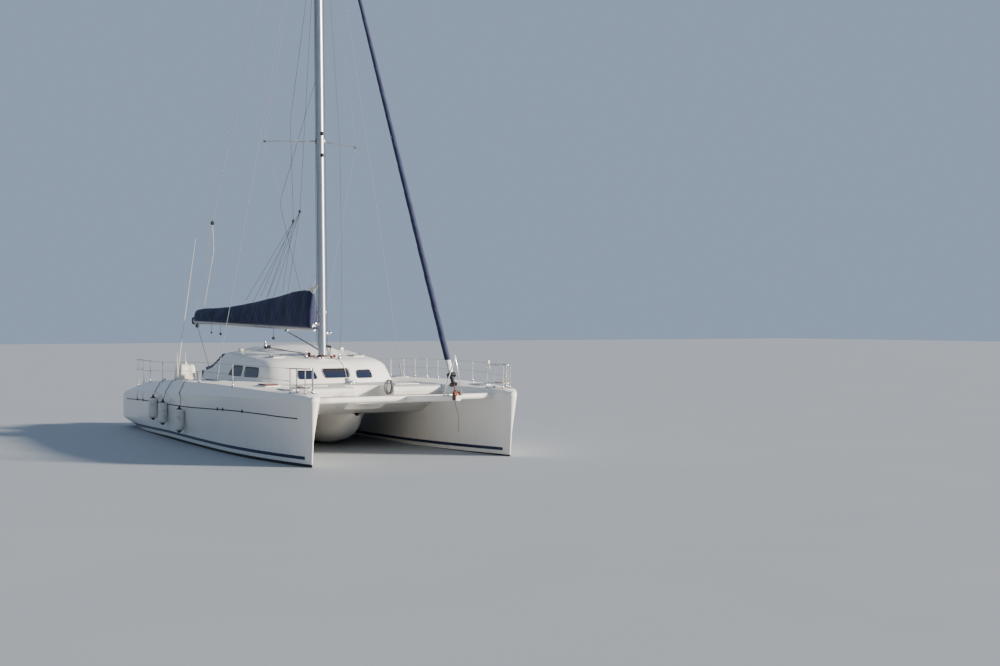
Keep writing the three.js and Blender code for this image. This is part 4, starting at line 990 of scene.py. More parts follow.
class BOAT_OT_decks(bpy.types.Operator):
    """The bridgedeck with its cockpit, the pod's skin below, the lids, and the beam and spars ahead"""

    bl_idname = "boat.decks"
    bl_label = "Decks"

    def execute(self, context):
        refined("bridgedeck", deck_gelcoat, smooth_deg=28)
        piece("pod_skin", [pod_shape()], cabin_gelcoat, smooth_deg=40)
        sole = TEAK_SOLE
        piece("cockpit_sole", slats((sole["aft"], -sole["half"]), (sole["fore"], sole["half"]), sole["z"],
                                    0.012, 26), weathered_teak, bevel=0.002)
        for name, side in SIDES.items():
            lid = f"foredeck_lid_{name}"
            refined(lid, deck_gelcoat, bevel=0.006)
            latch = turned(LATCH, on_side(LATCH_PLACE, side), (0, 0, 1), 20)
            piece(f"lid_latch_{name}", [latch], polished_stainless, body=BODY_OF[lid])
            lids, rims = [], []
            for x, half_long, half_wide in DECK_HATCHES:
                shapes = hatch_shapes(on_deck(x, 0.0, side), half_long, half_wide, HATCH_HIGH)
                lids += shapes[0]
                rims += shapes[1]
            piece(f"deck_hatches_{name}", lids, tinted_acrylic_painted_reflection)
            piece(f"deck_hatch_rims_{name}", rims, anodised_aluminium, smooth_deg=60)
            cleats = [
                shape
                for x, y in CLEATS
                for shape in cleat_shapes(lifted(on_deck(x, y - HULL_Y, side), -0.004))
            ]
            piece(f"cleats_{name}", cleats, polished_stainless, smooth_deg=50)
        for node in ("cross_beam", "catwalk", "bowsprit"):
            refined(node, cabin_gelcoat, smooth_deg=50, bevel=0.004)
        self.covered_hatch()
        self.foredeck_gear()
        self.sprit_end()
        return {"FINISHED"}

    @staticmethod
    def covered_hatch():
        """A pale hatch on the starboard deck under a fitted cover of red canvas."""
        size = COVERED_HATCH
        foot = on_deck(size["x"])
        frame_half = (size["half_long"] + 0.03, size["half_wide"] + 0.03, 0.016)
        piece("covered_hatch_frame", [rounded_block(lifted(foot, 0.006), frame_half, 8, 8, 40)],
              pale_moulding)
        half_high = size["high"] / 2
        pad = crowned_pad(lifted(foot, 0.016 + half_high), size["half_long"], size["half_wide"], half_high)
        cover = piece("covered_hatch_pad", [pad], red_canvas, smooth_deg=70)

    @staticmethod
    def foredeck_gear():
        """The windlass and a cleat ahead of the cabin."""
        drum = turned(WINDLASS_DRUM, WINDLASS, (0, 0, 1), 28)
        body = rounded_block(WINDLASS + np.array([0.0, 0.1, 0.035]), (0.11, 0.1, 0.05), 4, 12, 24)
        piece("windlass", [drum, body], anodised_aluminium, smooth_deg=40)
        piece("foredeck_cleat", cleat_shapes(FORE_CLEAT, (0, 1, 0)), polished_stainless, smooth_deg=50)

    @staticmethod
    def sprit_end():
        """Rusted shackles and a roller where the stay, the frame and the ropes meet the sprit."""
        roller = turned(ROLLER, SPRIT_TIP, (0, 1, 0), 24)
        bow = rounded_path(SPRIT_BOW, 0.03)
        cheeks = [rounded_block((8.395, side * 0.062, 1.52), (0.062, 0.008, 0.075), 5, 10, 20)
                  for side in (-1, 1)]
        piece("sprit_fittings", [roller, sweep(bow, 0.010, 10), *cheeks], rusted_steel, smooth_deg=40)


def crowned_pad(centre, half_long, half_wide, half_high):
    """A pad: a superellipsoid whose top rises with (1 - u^2)(1 - v^2) and whose sides pull in."""
    points, faces = rounded_block((0, 0, 0), (1, 1, 1), 5.0, 18, 56)
    u, v, w = points.T
    crown = (1 - np.clip(np.abs(u), 0, 1) ** 2.5) * (1 - np.clip(np.abs(v), 0, 1) ** 2.5)
    pull = 1 - 0.02 * np.cos(np.pi * v / 2) * np.abs(u) ** 8
    high = half_high * w * (0.72 + 0.28 * crown)
    fold = 0.004 * np.sin(9 * u + 4 * v) * np.clip(w, 0, 1) * (1 - crown)
    shaped = np.column_stack([half_long * u * pull, half_wide * v, high + fold])
    return shaped + np.asarray(centre), faces


# Cabin windows: corners as x, z on the sides, and as y, z at the front.
SIDE_WINDOWS = {
    "aft": [[-0.680, 1.702], [0.080, 1.695], [0.030, 1.933], [-0.505, 1.931]],
    "fore": [[0.305, 1.690], [1.110, 1.694], [0.985, 1.912], [0.232, 1.917]],
}
FRONT_WINDOWS = {
    "starboard": [[-0.978, 1.664], [-0.528, 1.666], [-0.570, 1.848], [-0.968, 1.858]],
    "centre": [[-0.325, 1.686], [0.325, 1.686], [0.345, 1.895], [-0.345, 1.895]],
    "port": [[0.528, 1.666], [0.978, 1.664], [0.968, 1.858], [0.570, 1.848]],
}
GASKET_SHARE = 1.05
GASKET_RADIUS = 0.010
ROOF_SLOPE = np.arctan((2.300 - 2.112) / (1.190 + 1.470))
HATCH_PLACE = np.array([0.680, 1.090, 2.183])
HATCH_HALF = 0.158
# The top of the side curtain that runs aft from the roof's corner: x, y, z on the starboard side.
CURTAIN_TOP = np.array([
    [-1.40, -1.715, 2.235], [-1.62, -1.712, 2.225], [-1.88, -1.710, 2.19], [-2.32, -1.705, 2.03],
    [-2.77, -1.705, 1.89], [-3.33, -1.70, 1.82],
])
CURTAIN_BOTTOM_Z = 1.49
CURTAIN_ROLL = {"x": -3.57, "y": 1.70, "low": 1.46, "high": 1.72, "radius": 0.045}
SEAT_LOW = np.array([-4.38, -2.33, 1.40])
SEAT_HIGH = np.array([-3.72, -1.83, 1.88])
SEAT_LIGHT = [(0, 0.05), (0.012, 0.05), (0.03, 0.03), (0.045, 0.034), (0.075, 0.03), (0.085, 0.0)]
# Rods that stand by the seat: path, radius, sides.
HELM_RODS = (
    ([(-3.64, -2.42, 1.42), (-3.64, -2.42, 1.9), (-3.66, -2.42, 2.22)], 0.012, 10),
    ([(-4.02, -2.08, 1.95), (-4.02, -2.08, 2.2)], 0.006, 8),
    ([(-1.62, -2.46, 1.49), (-1.62, -2.46, 1.76)], 0.02, 10),
)
# The saloon door: its aft face, the corners of its rim as y and z, and its handle.
DOOR_X = -1.193
DOOR_RIM = [(-0.40, 1.035), (0.40, 1.035), (0.40, 2.125), (-0.40, 2.125)]
DOOR_HANDLE = [(DOOR_X, -0.36, 1.50), (-1.225, -0.36, 1.50), (-1.225, -0.36, 1.68), (DOOR_X, -0.36, 1.68)]


# Search trees over the frame nodes' faces, made when they are first needed.
TREES = {}


def met(node, origin, way):
    """Where a line from a point first meets a frame node, or None."""
    if node not in TREES:
        mesh = frame["nodes"][node].data
        TREES[node] = BVHTree.FromPolygons([v.co.copy() for v in mesh.vertices],
                                           [list(face.vertices) for face in mesh.polygons])
    return TREES[node].ray_cast(Vector(origin), Vector(way))[0]


def touch(node, origin, way):
    """The same point, where there must be one."""
    place = met(node, origin, way)
    if place is None:
        raise RuntimeError(f"no surface of {node} is met from {tuple(origin)}")
    return place


def on_roof(x, y, up=0.0):
    """The point of the coachroof straight below a place above it, raised by a step."""
    return lifted(np.array(touch("coachroof", (x, y, 3.0), (0, 0, -1))), up)


def gasket_shape(corners, origin_of, way):
    """A rubber bead round a window: its outline, thrown on the cabin's skin, with a round section."""
    loop = rounded_loop(np.array(corners), 0.06)
    middle = loop.mean(axis=0)
    loop = evenly(middle + (loop - middle) * GASKET_SHARE, 64, closed=True)
    path = np.array([touch("coachroof", origin_of(a, b), way) for a, b in loop])
    return sweep(path, GASKET_RADIUS, 8, closed=True)


def hatch_rim_shape(side):
    """The roof hatch's frame: a rounded square loop of tube on the slope of the roof."""
    corners = np.array([(-1, -1), (1, -1), (1, 1), (-1, 1)]) * HATCH_HALF
    loop = rounded_loop(corners, 0.05)
    c, s = np.cos(ROOF_SLOPE), np.sin(ROOF_SLOPE)
    up = 0.0285
    path = np.column_stack([loop[:, 0] * c + up * s, loop[:, 1], -loop[:, 0] * s + up * c])
    return sweep(path + on_side(HATCH_PLACE, side), 0.010, 8, closed=True)


def seat_shape():
    """The helm seat's moulding: a superellipsoid whose sides draw in by a fifth towards its top."""
    middle, half = (SEAT_LOW + SEAT_HIGH) / 2, (SEAT_HIGH - SEAT_LOW) / 2
    points, faces = rounded_block((0, 0, 0), (1, 1, 1), 7.0, 26, 60)
    up = (points[:, 2] + 1) / 2
    draw = 1 - 0.19 * up**1.4
    forward = 0.10 * up
    shaped = np.column_stack([points[:, 0] * draw - forward * 0.35, points[:, 1] * draw, points[:, 2]])
    return shaped * half + middle, faces


def curtain_shape():
    """A hung side curtain: rows fall from its top to the coaming, in soft vertical folds whose depth
    grows downwards: depth sin(26 s) * share of the fall."""
    top = smooth_path(CURTAIN_TOP, 70)
    fall = np.linspace(0, 1, 26)[:, None]
    far = np.linspace(0, 1, len(top))[None]
    x = np.broadcast_to(top[None, :, 0], (26, len(top)))
    depth = 0.016 * fall * np.sin(26 * far + 1.3 * fall) + 0.006 * np.sin(61 * far)
    y = top[None, :, 1] + depth
    z = top[None, :, 2] + (CURTAIN_BOTTOM_Z - top[None, :, 2]) * fall
    return np.stack([x, y, z], axis=-1)


class BOAT_OT_cabin(bpy.types.Operator):
    """The coachroof, its dark windows in rubber, the roof hatches, the door and the wheel"""

    bl_idname = "boat.cabin"
    bl_label = "Cabin"

    def execute(self, context):
        refined("coachroof", cabin_gelcoat, smooth_deg=32, bevel=0.008)
        for node in frame["nodes"]:
            if node.startswith("window_"):
                refined(node, tinted_acrylic_painted_reflection, smooth_deg=30)
        for name, side in SIDES.items():
            beads = [
                gasket_shape(corners, lambda x, z: (x, side * 2.6, z), (0, -side, 0))
                for corners in SIDE_WINDOWS.values()
            ]
            piece(f"side_window_beads_{name}", beads, moulded_black, smooth_deg=60)
            hatch = f"roof_hatch_{name}"
            refined(hatch, tinted_acrylic_painted_reflection, bevel=0.006)
            piece(f"roof_hatch_rim_{name}", [hatch_rim_shape(side)], anodised_aluminium,
                  body=BODY_OF[hatch], smooth_deg=60)
        beads = [gasket_shape(corners, lambda y, z: (3.0, y, z), (-1, 0, 0))
                 for corners in FRONT_WINDOWS.values()]
        piece("front_window_beads", beads, moulded_black, smooth_deg=60)
        self.entrance()
        self.curtains()
        self.helm()
        return {"FINISHED"}

    @staticmethod
    def entrance():
        """The sliding door with its own rim, and the frame round its opening."""
        refined("saloon_door", tinted_acrylic_painted_reflection, bevel=0.004)
        body = BODY_OF["saloon_door"]
        rim = rounded_loop(np.array(DOOR_RIM), 0.05)
        path = np.column_stack([np.full(len(rim), DOOR_X), rim])
        piece("door_rim", [sweep(path, 0.014, 8, closed=True)], anodised_aluminium, body=body,
              smooth_deg=60)
        handle = rounded_path(DOOR_HANDLE, 0.02)
        piece("door_handle", [sweep(handle, 0.009, 10)], polished_stainless, body=body, smooth_deg=60)

    @staticmethod
    def curtains():
        """Navy side curtains that hang from the crest of each cabin wing."""
        grid = curtain_shape()
        for name, side in SIDES.items():
            placed = on_side(grid, -side)
            cloth = piece(f"side_curtain_{name}", [skin(placed, closed_cols=False)], navy_canvas,
                          smooth_deg=80)
            thicken(cloth, 0.003)
            roll = CURTAIN_ROLL
            z = np.linspace(roll["low"], roll["high"], 24)
            wrap = roll["radius"] * (0.93 + 0.07 * np.sin(z * 70))
            made = piece(f"curtain_roll_{name}", [turned(
                [(0, 0), *[(a - z[0] + 0.004, r) for a, r in zip(z, wrap)], (z[-1] - z[0] + 0.008, 0)],
                (roll["x"], side * roll["y"], z[0]), (0, 0, 1), 24)], navy_canvas,
                smooth_deg=70)

    @staticmethod
    def helm():
        """The helm seat, the wheel, and the rods that stand by the seat."""
        refined("steering_wheel", polished_stainless, smooth_deg=60)
        refined("wheel_mount", moulded_black, bevel=0.004)
        seat = piece("helm_seat_pad", [seat_shape()], seat_vinyl, stands_for=["helm_seat"], smooth_deg=70)
        middle, half = (SEAT_LOW + SEAT_HIGH) / 2, (SEAT_HIGH - SEAT_LOW) / 2
        turn = np.linspace(0, 2 * np.pi, 72, endpoint=False)
        seams = []
        for up in (0.30, 0.78):
            draw = (1 - 0.19 * ((up + 1) / 2) ** 1.4) * (1 - abs(up) ** 7) ** (1 / 7) * 1.004
            c, s = np.cos(turn), np.sin(turn)
            across = np.sign(c) * np.abs(c) ** (2 / 7) * draw - 0.035 * (up + 1) / 2
            ring = np.column_stack([across, np.sign(s) * np.abs(s) ** (2 / 7) * draw, np.full(72, up)])
            seams.append(sweep(evenly(ring * half + middle, 90, closed=True), 0.005, 6, closed=True))
        piece("helm_seat_welts", seams, seat_vinyl, smooth_deg=70)
        knob = turned(SEAT_LIGHT, (-4.02, -2.08, SEAT_HIGH[2] - 0.004), (0, 0, 1), 20)
        piece("helm_seat_light", [knob], pale_moulding, smooth_deg=50)
        piece("helm_rods", [sweep(*rod) for rod in HELM_RODS], pale_moulding, smooth_deg=50)


# Rails. Each hull's pulpit is drawn about that hull's own middle line.
PULPIT_TOP, PULPIT_SEAT = 2.07, 1.66
PULPIT_POSTS = [(5.82, 0.25), (6.02, 0.178), (6.275, 0.087)]
RAIL_Y = 3.010
STERN_POSTS = [-4.29, -5.00, -5.62]
STERN_Y = 2.990
STERN_TOP, STERN_MID = 1.975, 1.700
STANCHIONS = {"starboard": [-2.95, 0.45, 3.06], "port": [-2.95, -1.35, -0.5, 0.22, 0.93, 1.58, 3.5]}
WIRE_RISE = (0.27, 0.50)
TUBE = 0.0135
RAIL_FOOT = [(-0.01, 0.042), (0.006, 0.042), (0.012, 0.036), (0.02, 0.022), (0.055, 0.019), (0.06, 0.0)]
# Planks of a pulpit's seat: x, half length across.
SEAT_PLANKS = ((6.045, 0.165), (6.115, 0.142), (6.185, 0.118), (6.25, 0.095))
RAIL_LAMP = (4.45, 2.925, 2.085)
RAIL_CLIP = [(4.47, 2.93, 2.05), (4.50, 2.935, 1.99), (4.53, 2.93, 1.93)]


def base_shape(foot):
    """A stanchion's round foot: a flange, a rounded collar and a short socket."""
    return turned(RAIL_FOOT, foot, (0, 0, 1), 18)


def pulpit_shapes(side):
    """A bow pulpit: two bent hoops and six upright tubes, and the slats of its seat."""
    def hoop(z):
        half = [(5.80, 0.25), (6.275, 0.087)]
        corners = half + [(x, -y) for x, y in reversed(half)]
        return rounded_path([(x, side * HULL_Y + y, z) for x, y in corners], 0.06, 8)

    tubes = [sweep(hoop(z), TUBE, 12) for z in (PULPIT_TOP, PULPIT_SEAT)]
    feet = []
    for x, across in PULPIT_POSTS:
        for way in (-1, 1):
            foot = on_deck(x, side * way * across, side)
            foot[1] = side * HULL_Y + way * across
            tubes.append(sweep([lifted(foot, -0.02), lifted(foot, 0.2),
                                (foot[0], foot[1], PULPIT_TOP)], TUBE, 12))
            feet.append(base_shape(foot))
    planks = [
        box_shape((x - 0.03, side * HULL_Y - half, PULPIT_SEAT + 0.008),
                  (x + 0.03, side * HULL_Y + half, PULPIT_SEAT + 0.026))
        for x, half in SEAT_PLANKS
    ]
    return tubes + feet, planks


def stern_rail_shapes(side):
    """A stern rail: two hoops that turn in across the stern, on three posts and an inner one."""
    aft = -5.80

    def hoop(z):
        return rounded_path([
            (STERN_POSTS[0] + 0.02, side * STERN_Y, z), (aft, side * STERN_Y, z),
            (aft - 0.06, side * 2.98, z), (aft - 0.06, side * 2.77, z),
        ], 0.045, 8)

    tubes = [sweep(hoop(z), TUBE, 12) for z in (STERN_TOP, STERN_MID)]
    feet = []
    for x, y in [(x, STERN_Y) for x in STERN_POSTS] + [(aft - 0.06, 2.90)]:
        edge = deck_edge(x)
        foot = np.array([x, side * y, edge - 0.004])
        tubes.append(sweep([lifted(foot, -0.02), lifted(foot, 0.25),
                            (x, side * y, STERN_TOP)], TUBE, 12))
        feet.append(base_shape(foot))
    return tubes + feet


def lifeline_shapes(name, side):
    """Stanchions with two wires from the stern rail to the pulpit, straight between the stanchions."""
    posts, wires = [], []
    for x in STANCHIONS[name]:
        foot = np.array([x, side * RAIL_Y, deck_edge(x)])
        top = lifted(foot, WIRE_RISE[1] + 0.015)
        posts.append(sweep([lifted(foot, -0.02), (foot + top) / 2, top], 0.0125, 12))
        posts.append(turned([(0, 0.0125), (0.004, 0.017), (0.012, 0.015), (0.018, 0.0)], top, (0, 0, 1), 12))
        posts.append(base_shape(foot))
    for number, rise in enumerate(WIRE_RISE):
        start = (STERN_POSTS[0] + 0.021, side * STERN_Y, (STERN_MID, STERN_TOP)[number])
        end = (5.80, side * (HULL_Y + 0.25), (1.80, PULPIT_TOP)[number])
        path = [start, *[(x, side * RAIL_Y, deck_edge(x) + rise) for x in STANCHIONS[name]], end]
        wires.append(sweep(path, 0.004, 6))
        for where in (start, end):
            turn = np.asarray(path[1] if where is start else path[-2], float) - np.asarray(where)
            wires.append(turned([(0.01, 0.007), (0.10, 0.009), (0.18, 0.009), (0.19, 0.0)], where, turn, 10))
    return posts, wires


class BOAT_OT_rails(bpy.types.Operator):
    """Pulpits, stern rails, stanchions with their wires, and the frame on the bowsprit"""

    bl_idname = "boat.rails"
    bl_label = "Rails"

    def execute(self, context):
        for name, side in SIDES.items():
            tubes, planks = pulpit_shapes(side)
            piece(f"pulpit_tubes_{name}", tubes, polished_stainless, stands_for=[f"bow_pulpit_{name}"],
                  smooth_deg=60)
            piece(f"pulpit_seat_{name}", planks, weathered_teak, bevel=0.003)
            piece(f"stern_rail_tubes_{name}", stern_rail_shapes(side), polished_stainless,
                  stands_for=[f"stern_rail_{name}"], smooth_deg=60)
            posts, wires = lifeline_shapes(name, side)
            piece(f"stanchions_{name}", posts, polished_stainless, stands_for=[f"lifeline_{name}"],
                  smooth_deg=60)
            piece(f"lifeline_wires_{name}", wires, steel_wire, smooth_deg=60)
        refined("sprit_frame", polished_stainless, smooth_deg=60)
        lamp = rounded_block(RAIL_LAMP, (0.045, 0.035, 0.05), 3.5, 12, 20)
        clip = sweep(RAIL_CLIP, 0.012, 8)
        piece("rail_light", [lamp, clip], pale_moulding, smooth_deg=50)
        return {"FINISHED"}


def straight_wire(start, end, radius, sides=10):
    """A wire between two points, with one more point at its middle."""
    return sweep([start, (start + end) / 2, end], radius, sides)


CHAINPLATE = np.array([0.34, 2.555, 1.59])
SPREADER_TIP = np.array([0.22, 1.27, 7.67])
HOUNDS_Z = 15.7
WINCH_PROFILE = [
    (0, 0.062), (0.012, 0.062), (0.018, 0.05), (0.03, 0.043), (0.085, 0.038), (0.10, 0.045),
    (0.108, 0.047), (0.118, 0.04), (0.125, 0.022), (0.135, 0.02), (0.137, 0.0),
]
SPREADER_BOOT = [(-0.05, 0.0), (-0.048, 0.026), (-0.03, 0.03), (0.0, 0.024), (0.002, 0.0)]
MAST_LIGHT = [(0, 0.045), (0.03, 0.05), (0.05, 0.035), (0.09, 0.03), (0.10, 0.0)]
SHEAVE = [(-0.017, 0.014), (-0.016, 0.036), (-0.006, 0.038), (-0.004, 0.028),
          (0.004, 0.028), (0.006, 0.038), (0.016, 0.036), (0.017, 0.014)]
# The collar round the mast's foot: height, and how far it stands out of the mast.
COLLAR = ((2.168, 0.035), (2.196, 0.034), (2.214, 0.018), (2.221, 0.0))
MAST_HALF = (0.135, 0.095)
# Where the stays meet the mast's sides: height, half length of the plate.
MAST_ROOTS = ((7.67, 0.075), (HOUNDS_Z - 0.5, 0.06), (3.3, 0.05))
LIGHT_HEIGHTS = (7.30, 7.85)
MAST_WINCHES = ((3.02, STARBOARD), (2.78, PORT))
# Gear on the roof: x, y.
ROOF_WINCHES = ((-0.95, -0.82), (-0.95, 0.82), (0.98, -0.42), (1.42, 0.30))
FOOT_BLOCKS = ((0.72, -0.24), (0.86, -0.30), (1.15, -0.27), (1.32, -0.14), (1.33, 0.12), (1.16, 0.27))
CLUTCHES = tuple((-0.70, y) for y in (-0.90, -0.85, -0.80, 0.80, 0.85, 0.90))
VENTS = ((-1.16, -1.42), (-1.16, 1.42))


class BOAT_OT_spars(bpy.types.Operator):
    """Mast, spreaders, boom, gooseneck and vang, and the main stays"""

    bl_idname = "boat.spars"
    bl_label = "Spars and stays"

    def execute(self, context):
        for node in ("mast", "boom", "vang"):
            refined(node, anodised_aluminium, smooth_deg=40)
        for node in ("gooseneck", "vang_bracket", "forestay_head"):
            refined(node, polished_stainless, smooth_deg=40)
        refined("forestay_foot", rusted_steel, smooth_deg=40)
        refined("furling_drum", moulded_black, smooth_deg=30)
        for name, side in SIDES.items():
            refined(f"spreader_{name}", anodised_aluminium, smooth_deg=50)
            refined(f"shroud_{name}", steel_wire, smooth_deg=60)
            tip = on_side(SPREADER_TIP, side)
            boot = turned(SPREADER_BOOT, tip, (0, side, 0), 14)
            piece(f"spreader_boot_{name}", [boot], moulded_black)
            plate = rounded_block(lifted(on_side(CHAINPLATE, side), -0.012),
                                  (0.075, 0.03, 0.012), 5, 8, 24)
            piece(f"chainplate_{name}", [plate], polished_stainless)
        self.diamonds()
        self.mast_fittings()
        self.roof_gear()
        return {"FINISHED"}

    @staticmethod
    def diamonds():
        """A stay on each side from the hounds over the spreader's tip to the mast's foot."""
        wires = []
        for side in SIDES.values():
            tip = on_side(SPREADER_TIP, side)
            wires.append(straight_wire(on_mast(HOUNDS_Z - 0.5, 0.0, side * 0.085), tip, 0.004))
            wires.append(straight_wire(tip, on_mast(3.3, 0.03, side * 0.088), 0.004))
        piece("diamond_stays", wires, steel_wire, smooth_deg=60)

    @staticmethod
    def mast_fittings():
        """Sail track, foot collar, spreader roots and lights on the mast."""
        track = [sweep([on_mast(3.05, -0.139), on_mast(9.0, -0.139), on_mast(17.7, -0.139)], 0.010, 8)]
        piece("mast_track", track, moulded_black, smooth_deg=60)
        turn = np.linspace(0, 2 * np.pi, 40, endpoint=False)
        rings = [
            np.column_stack([
                MAST_FOOT[0] + (MAST_HALF[0] + grow) * np.cos(turn), (MAST_HALF[1] + grow) * np.sin(turn),
                np.full(40, z),
            ])
            for z, grow in COLLAR
        ]
        piece("mast_collar", [skin(np.array(rings))], moulded_black)
        roots = [
            rounded_block(on_mast(z, 0.0, side * 0.093), (0.07, 0.014, half), 4, 10, 20)
            for z, half in MAST_ROOTS
            for side in SIDES.values()
        ]
        lights = [turned(MAST_LIGHT, on_mast(z, 0.125), (1, 0, 0.1), 20) for z in LIGHT_HEIGHTS]
        piece("mast_roots", roots, polished_stainless, smooth_deg=40)
        piece("mast_lights", lights, moulded_black, smooth_deg=40)

    @staticmethod
    def roof_gear():
        """Winches on the mast and the roof, blocks round the mast's foot, rope clutches and vents."""
        winches = [turned(WINCH_PROFILE, on_mast(z, 0.02, side * 0.085), (0, side, 0), 26)
                   for z, side in MAST_WINCHES]
        winches += [turned(WINCH_PROFILE, (x, y, on_roof(x, y)[2]), (0, 0, 1), 26) for x, y in ROOF_WINCHES]
        piece("winches", winches, polished_stainless, smooth_deg=35)
        blocks = []
        for x, y in FOOT_BLOCKS:
            foot = on_roof(x, y)
            way = unit(np.array([x, y, 0]) - np.array([MAST_FOOT[0], 0, 0]))
            blocks.append(turned(SHEAVE, lifted(foot, 0.045), (-way[1], way[0], 0), 20))
            blocks.append(turned([(0, 0.012), (0.012, 0.009), (0.03, 0.008)], foot, (0, 0, 1), 10))
        piece("mast_foot_blocks", blocks, rusted_steel, smooth_deg=40)
        clutches = [rounded_block(on_roof(x, y, 0.03), (0.09, 0.018, 0.034), 4, 10, 20) for x, y in CLUTCHES]
        piece("rope_clutches", clutches, moulded_black, smooth_deg=40)
        vents = [rounded_block(on_roof(x, y, 0.03), (0.07, 0.06, 0.04), 3.5, 12, 24) for x, y in VENTS]
        piece("roof_vents", vents, pale_moulding, smooth_deg=50)


# The sail cover. The columns are distance along the boom, top above its middle, half width.
COVER = np.array([
    [0.19, 0.895, 0.12], [0.33, 0.98, 0.165], [0.9, 0.91, 0.18], [1.45, 0.795, 0.175],
    [2.55, 0.59, 0.16], [3.65, 0.43, 0.14], [4.95, 0.315, 0.11], [5.03, 0.275, 0.08],
])
COVER_SECTION = np.array([
    [0.5, -0.02], [0.86, 0.02], [1, 0.16], [0.92, 0.42], [0.62, 0.74], [0.3, 0.94], [0, 1],
])
COVER_TIES = np.linspace(0.55, 4.75, 8)


def cover_section():
    """The cover's outline, as shares of its half width out and of its height up."""
    outline = np.vstack([COVER_SECTION, COVER_SECTION[-2::-1] * np.array([-1, 1])])
    return smooth_path(np.column_stack([outline, np.zeros(len(outline))]), 90)[:, :2]


def cover_grid():
    """The cover's cloth: a tent section over the stacked sail, its measures eased along the boom.
    Folds stand out from it by a sum of sines that run down and aft, deepest between the ties, and
    the ties draw it in."""
    at = np.linspace(COVER[0, 0], COVER[-1, 0], 320)
    top, half = (col[:, None] for col in eased_table(COVER, at).T)
    outline = cover_section()
    across, up = outline[None, :, 0], outline[None, :, 1]
    along = at[:, None]
    near = np.exp(-(((along - COVER_TIES[None, :]) / 0.07) ** 2)).sum(axis=1)[:, None]
    drape = np.sin(along * 8.0 + up * 6.0) * 0.45 + np.sin(along * 19.0 - up * 8.0) * 0.3
    drape = drape + np.sin(along * 43.0 + up * 11.0 + np.sign(across)) * 0.22
    drape = drape * (1 - 0.7 * near) - 0.9 * near
    push = 1 + sizes().fold / half * drape * np.sin(np.pi * np.clip(up, 0, 1)) ** 0.7
    y = half * across * push
    sway = 0.010 * np.sin(along * 5.1) * np.clip(up, 0, 1) + 0.006 * np.sin(along * 13.0)
    z = along * BOOM_LIFT + top * up * (1 - 0.010 * np.abs(np.sin(along * 3.3))) - 0.012 * near * up
    x = np.broadcast_to(-along, y.shape)
    return np.stack([x, y + sway * np.clip(up, 0, 1), z], axis=-1)


STAY_FOOT = np.array([8.400, 0.0, 1.515])


def stay_frame():
    """The forestay's direction, and two directions square to it."""
    along = unit(on_mast(HOUNDS_Z, 0.060) - STAY_FOOT)
    across = np.array([0.0, 1.0, 0.0])
    return along, across, np.cross(along, across)


ROLL = np.array([
    [1.986, 0.036], [2.03, 0.05], [2.30, 0.064], [2.60, 0.065], [4.5, 0.064], [8.5, 0.055],
    [12.5, 0.041], [15.0, 0.029], [15.10, 0.022],
])
ROLL_PITCH = 0.62


def roll_shape():
    """The furled headsail: a spiral roll whose radius steps up by a tenth once in each turn of a helix,
    with slack folds: r = R(z) (0.91 + 0.09 t^0.6 + folds), with t the share of a turn."""
    along, across, up = stay_frame()
    z = np.linspace(ROLL[0, 0], ROLL[-1, 0], 900)
    radius = eased_table(ROLL, z)[:, 0][:, None]
    turn = np.linspace(0, 2 * np.pi, 28, endpoint=False)[None]
    share = ((turn / (2 * np.pi) + z[:, None] / ROLL_PITCH) % 1.0)
    slack = 0.015 * np.sin(turn * 3 + z[:, None] * 11) + 0.01 * np.sin(turn * 2 - z[:, None] * 23)
    reach = radius * (0.91 + 0.09 * share**0.6 + slack)
    centre = STAY_FOOT + along * ((z - STAY_FOOT[2]) / along[2])[:, None]
    ring = np.cos(turn)[..., None] * across + np.sin(turn)[..., None] * up
    return skin(centre[:, None] + reach[..., None] * ring)


def sail_head_shape():
    """The folded head of the mainsail, which stands out of the cover against the mast: a thin
    triangle of cloth, thickest at its foot, with two soft folds."""
    corners = [on_boom(0.62, 0.0, 0.90), on_boom(0.20, 0.0, 0.86), on_mast(4.02, -0.19)]
    u = np.linspace(0, 1, 16)[:, None, None]
    v = np.linspace(0, 1, 14)[None, :, None]
    base = (1 - v) * corners[0] + v * corners[1]
    flat = (1 - u) * base + u * corners[2]
    side = unit(np.cross(corners[1] - corners[0], np.array([0, 0, 1.0])))
    thick = 0.035 * (1 - u) ** 0.5 * np.sin(np.pi * np.clip(v, 0.02, 0.98)) + 0.004
    fold = 0.012 * np.sin(7 * v + 3 * u)
    near, far = flat + side * (thick + fold), flat - side * (thick - fold)
    ring = np.concatenate([near, far[:, ::-1]], axis=1)
    return skin(ring)


def cover_tie_shapes():
    """Flat webbing round the cover at each tie: the cover's own outline, a little proud."""
    outline = cover_section()
    grid = []
    for along in COVER_TIES:
        top, half = eased_table(COVER, np.array([along]))[0]
        y = half * outline[:, 0] * (1 - 0.55 * sizes().fold / half) + 0.004 * np.sign(outline[:, 0])
        z = along * BOOM_LIFT + top * outline[:, 1] * 0.99 + 0.002
        path = from_boom(np.column_stack([np.full(len(y), -along), y, z]))
        way = unit(from_boom([[-1.0, 0, 0]])[0] - from_boom([[0.0, 0, 0]])[0])
        grid.append(band(path, way, 0.016, 0.004))
    return grid


def band(path, wide_way, half_wide, thick):
    """A flat strap along a path: its four corners are the path, half a width to each side and a
    thickness out from the middle of the path's own loop."""
    path = np.asarray(path, float)
    out = unit(path - path.mean(axis=0))
    wide = np.asarray(wide_way) * half_wide
    ring = np.stack([path - wide, path + wide, path + wide + out * thick, path - wide + out * thick], axis=1)
    return skin(ring)


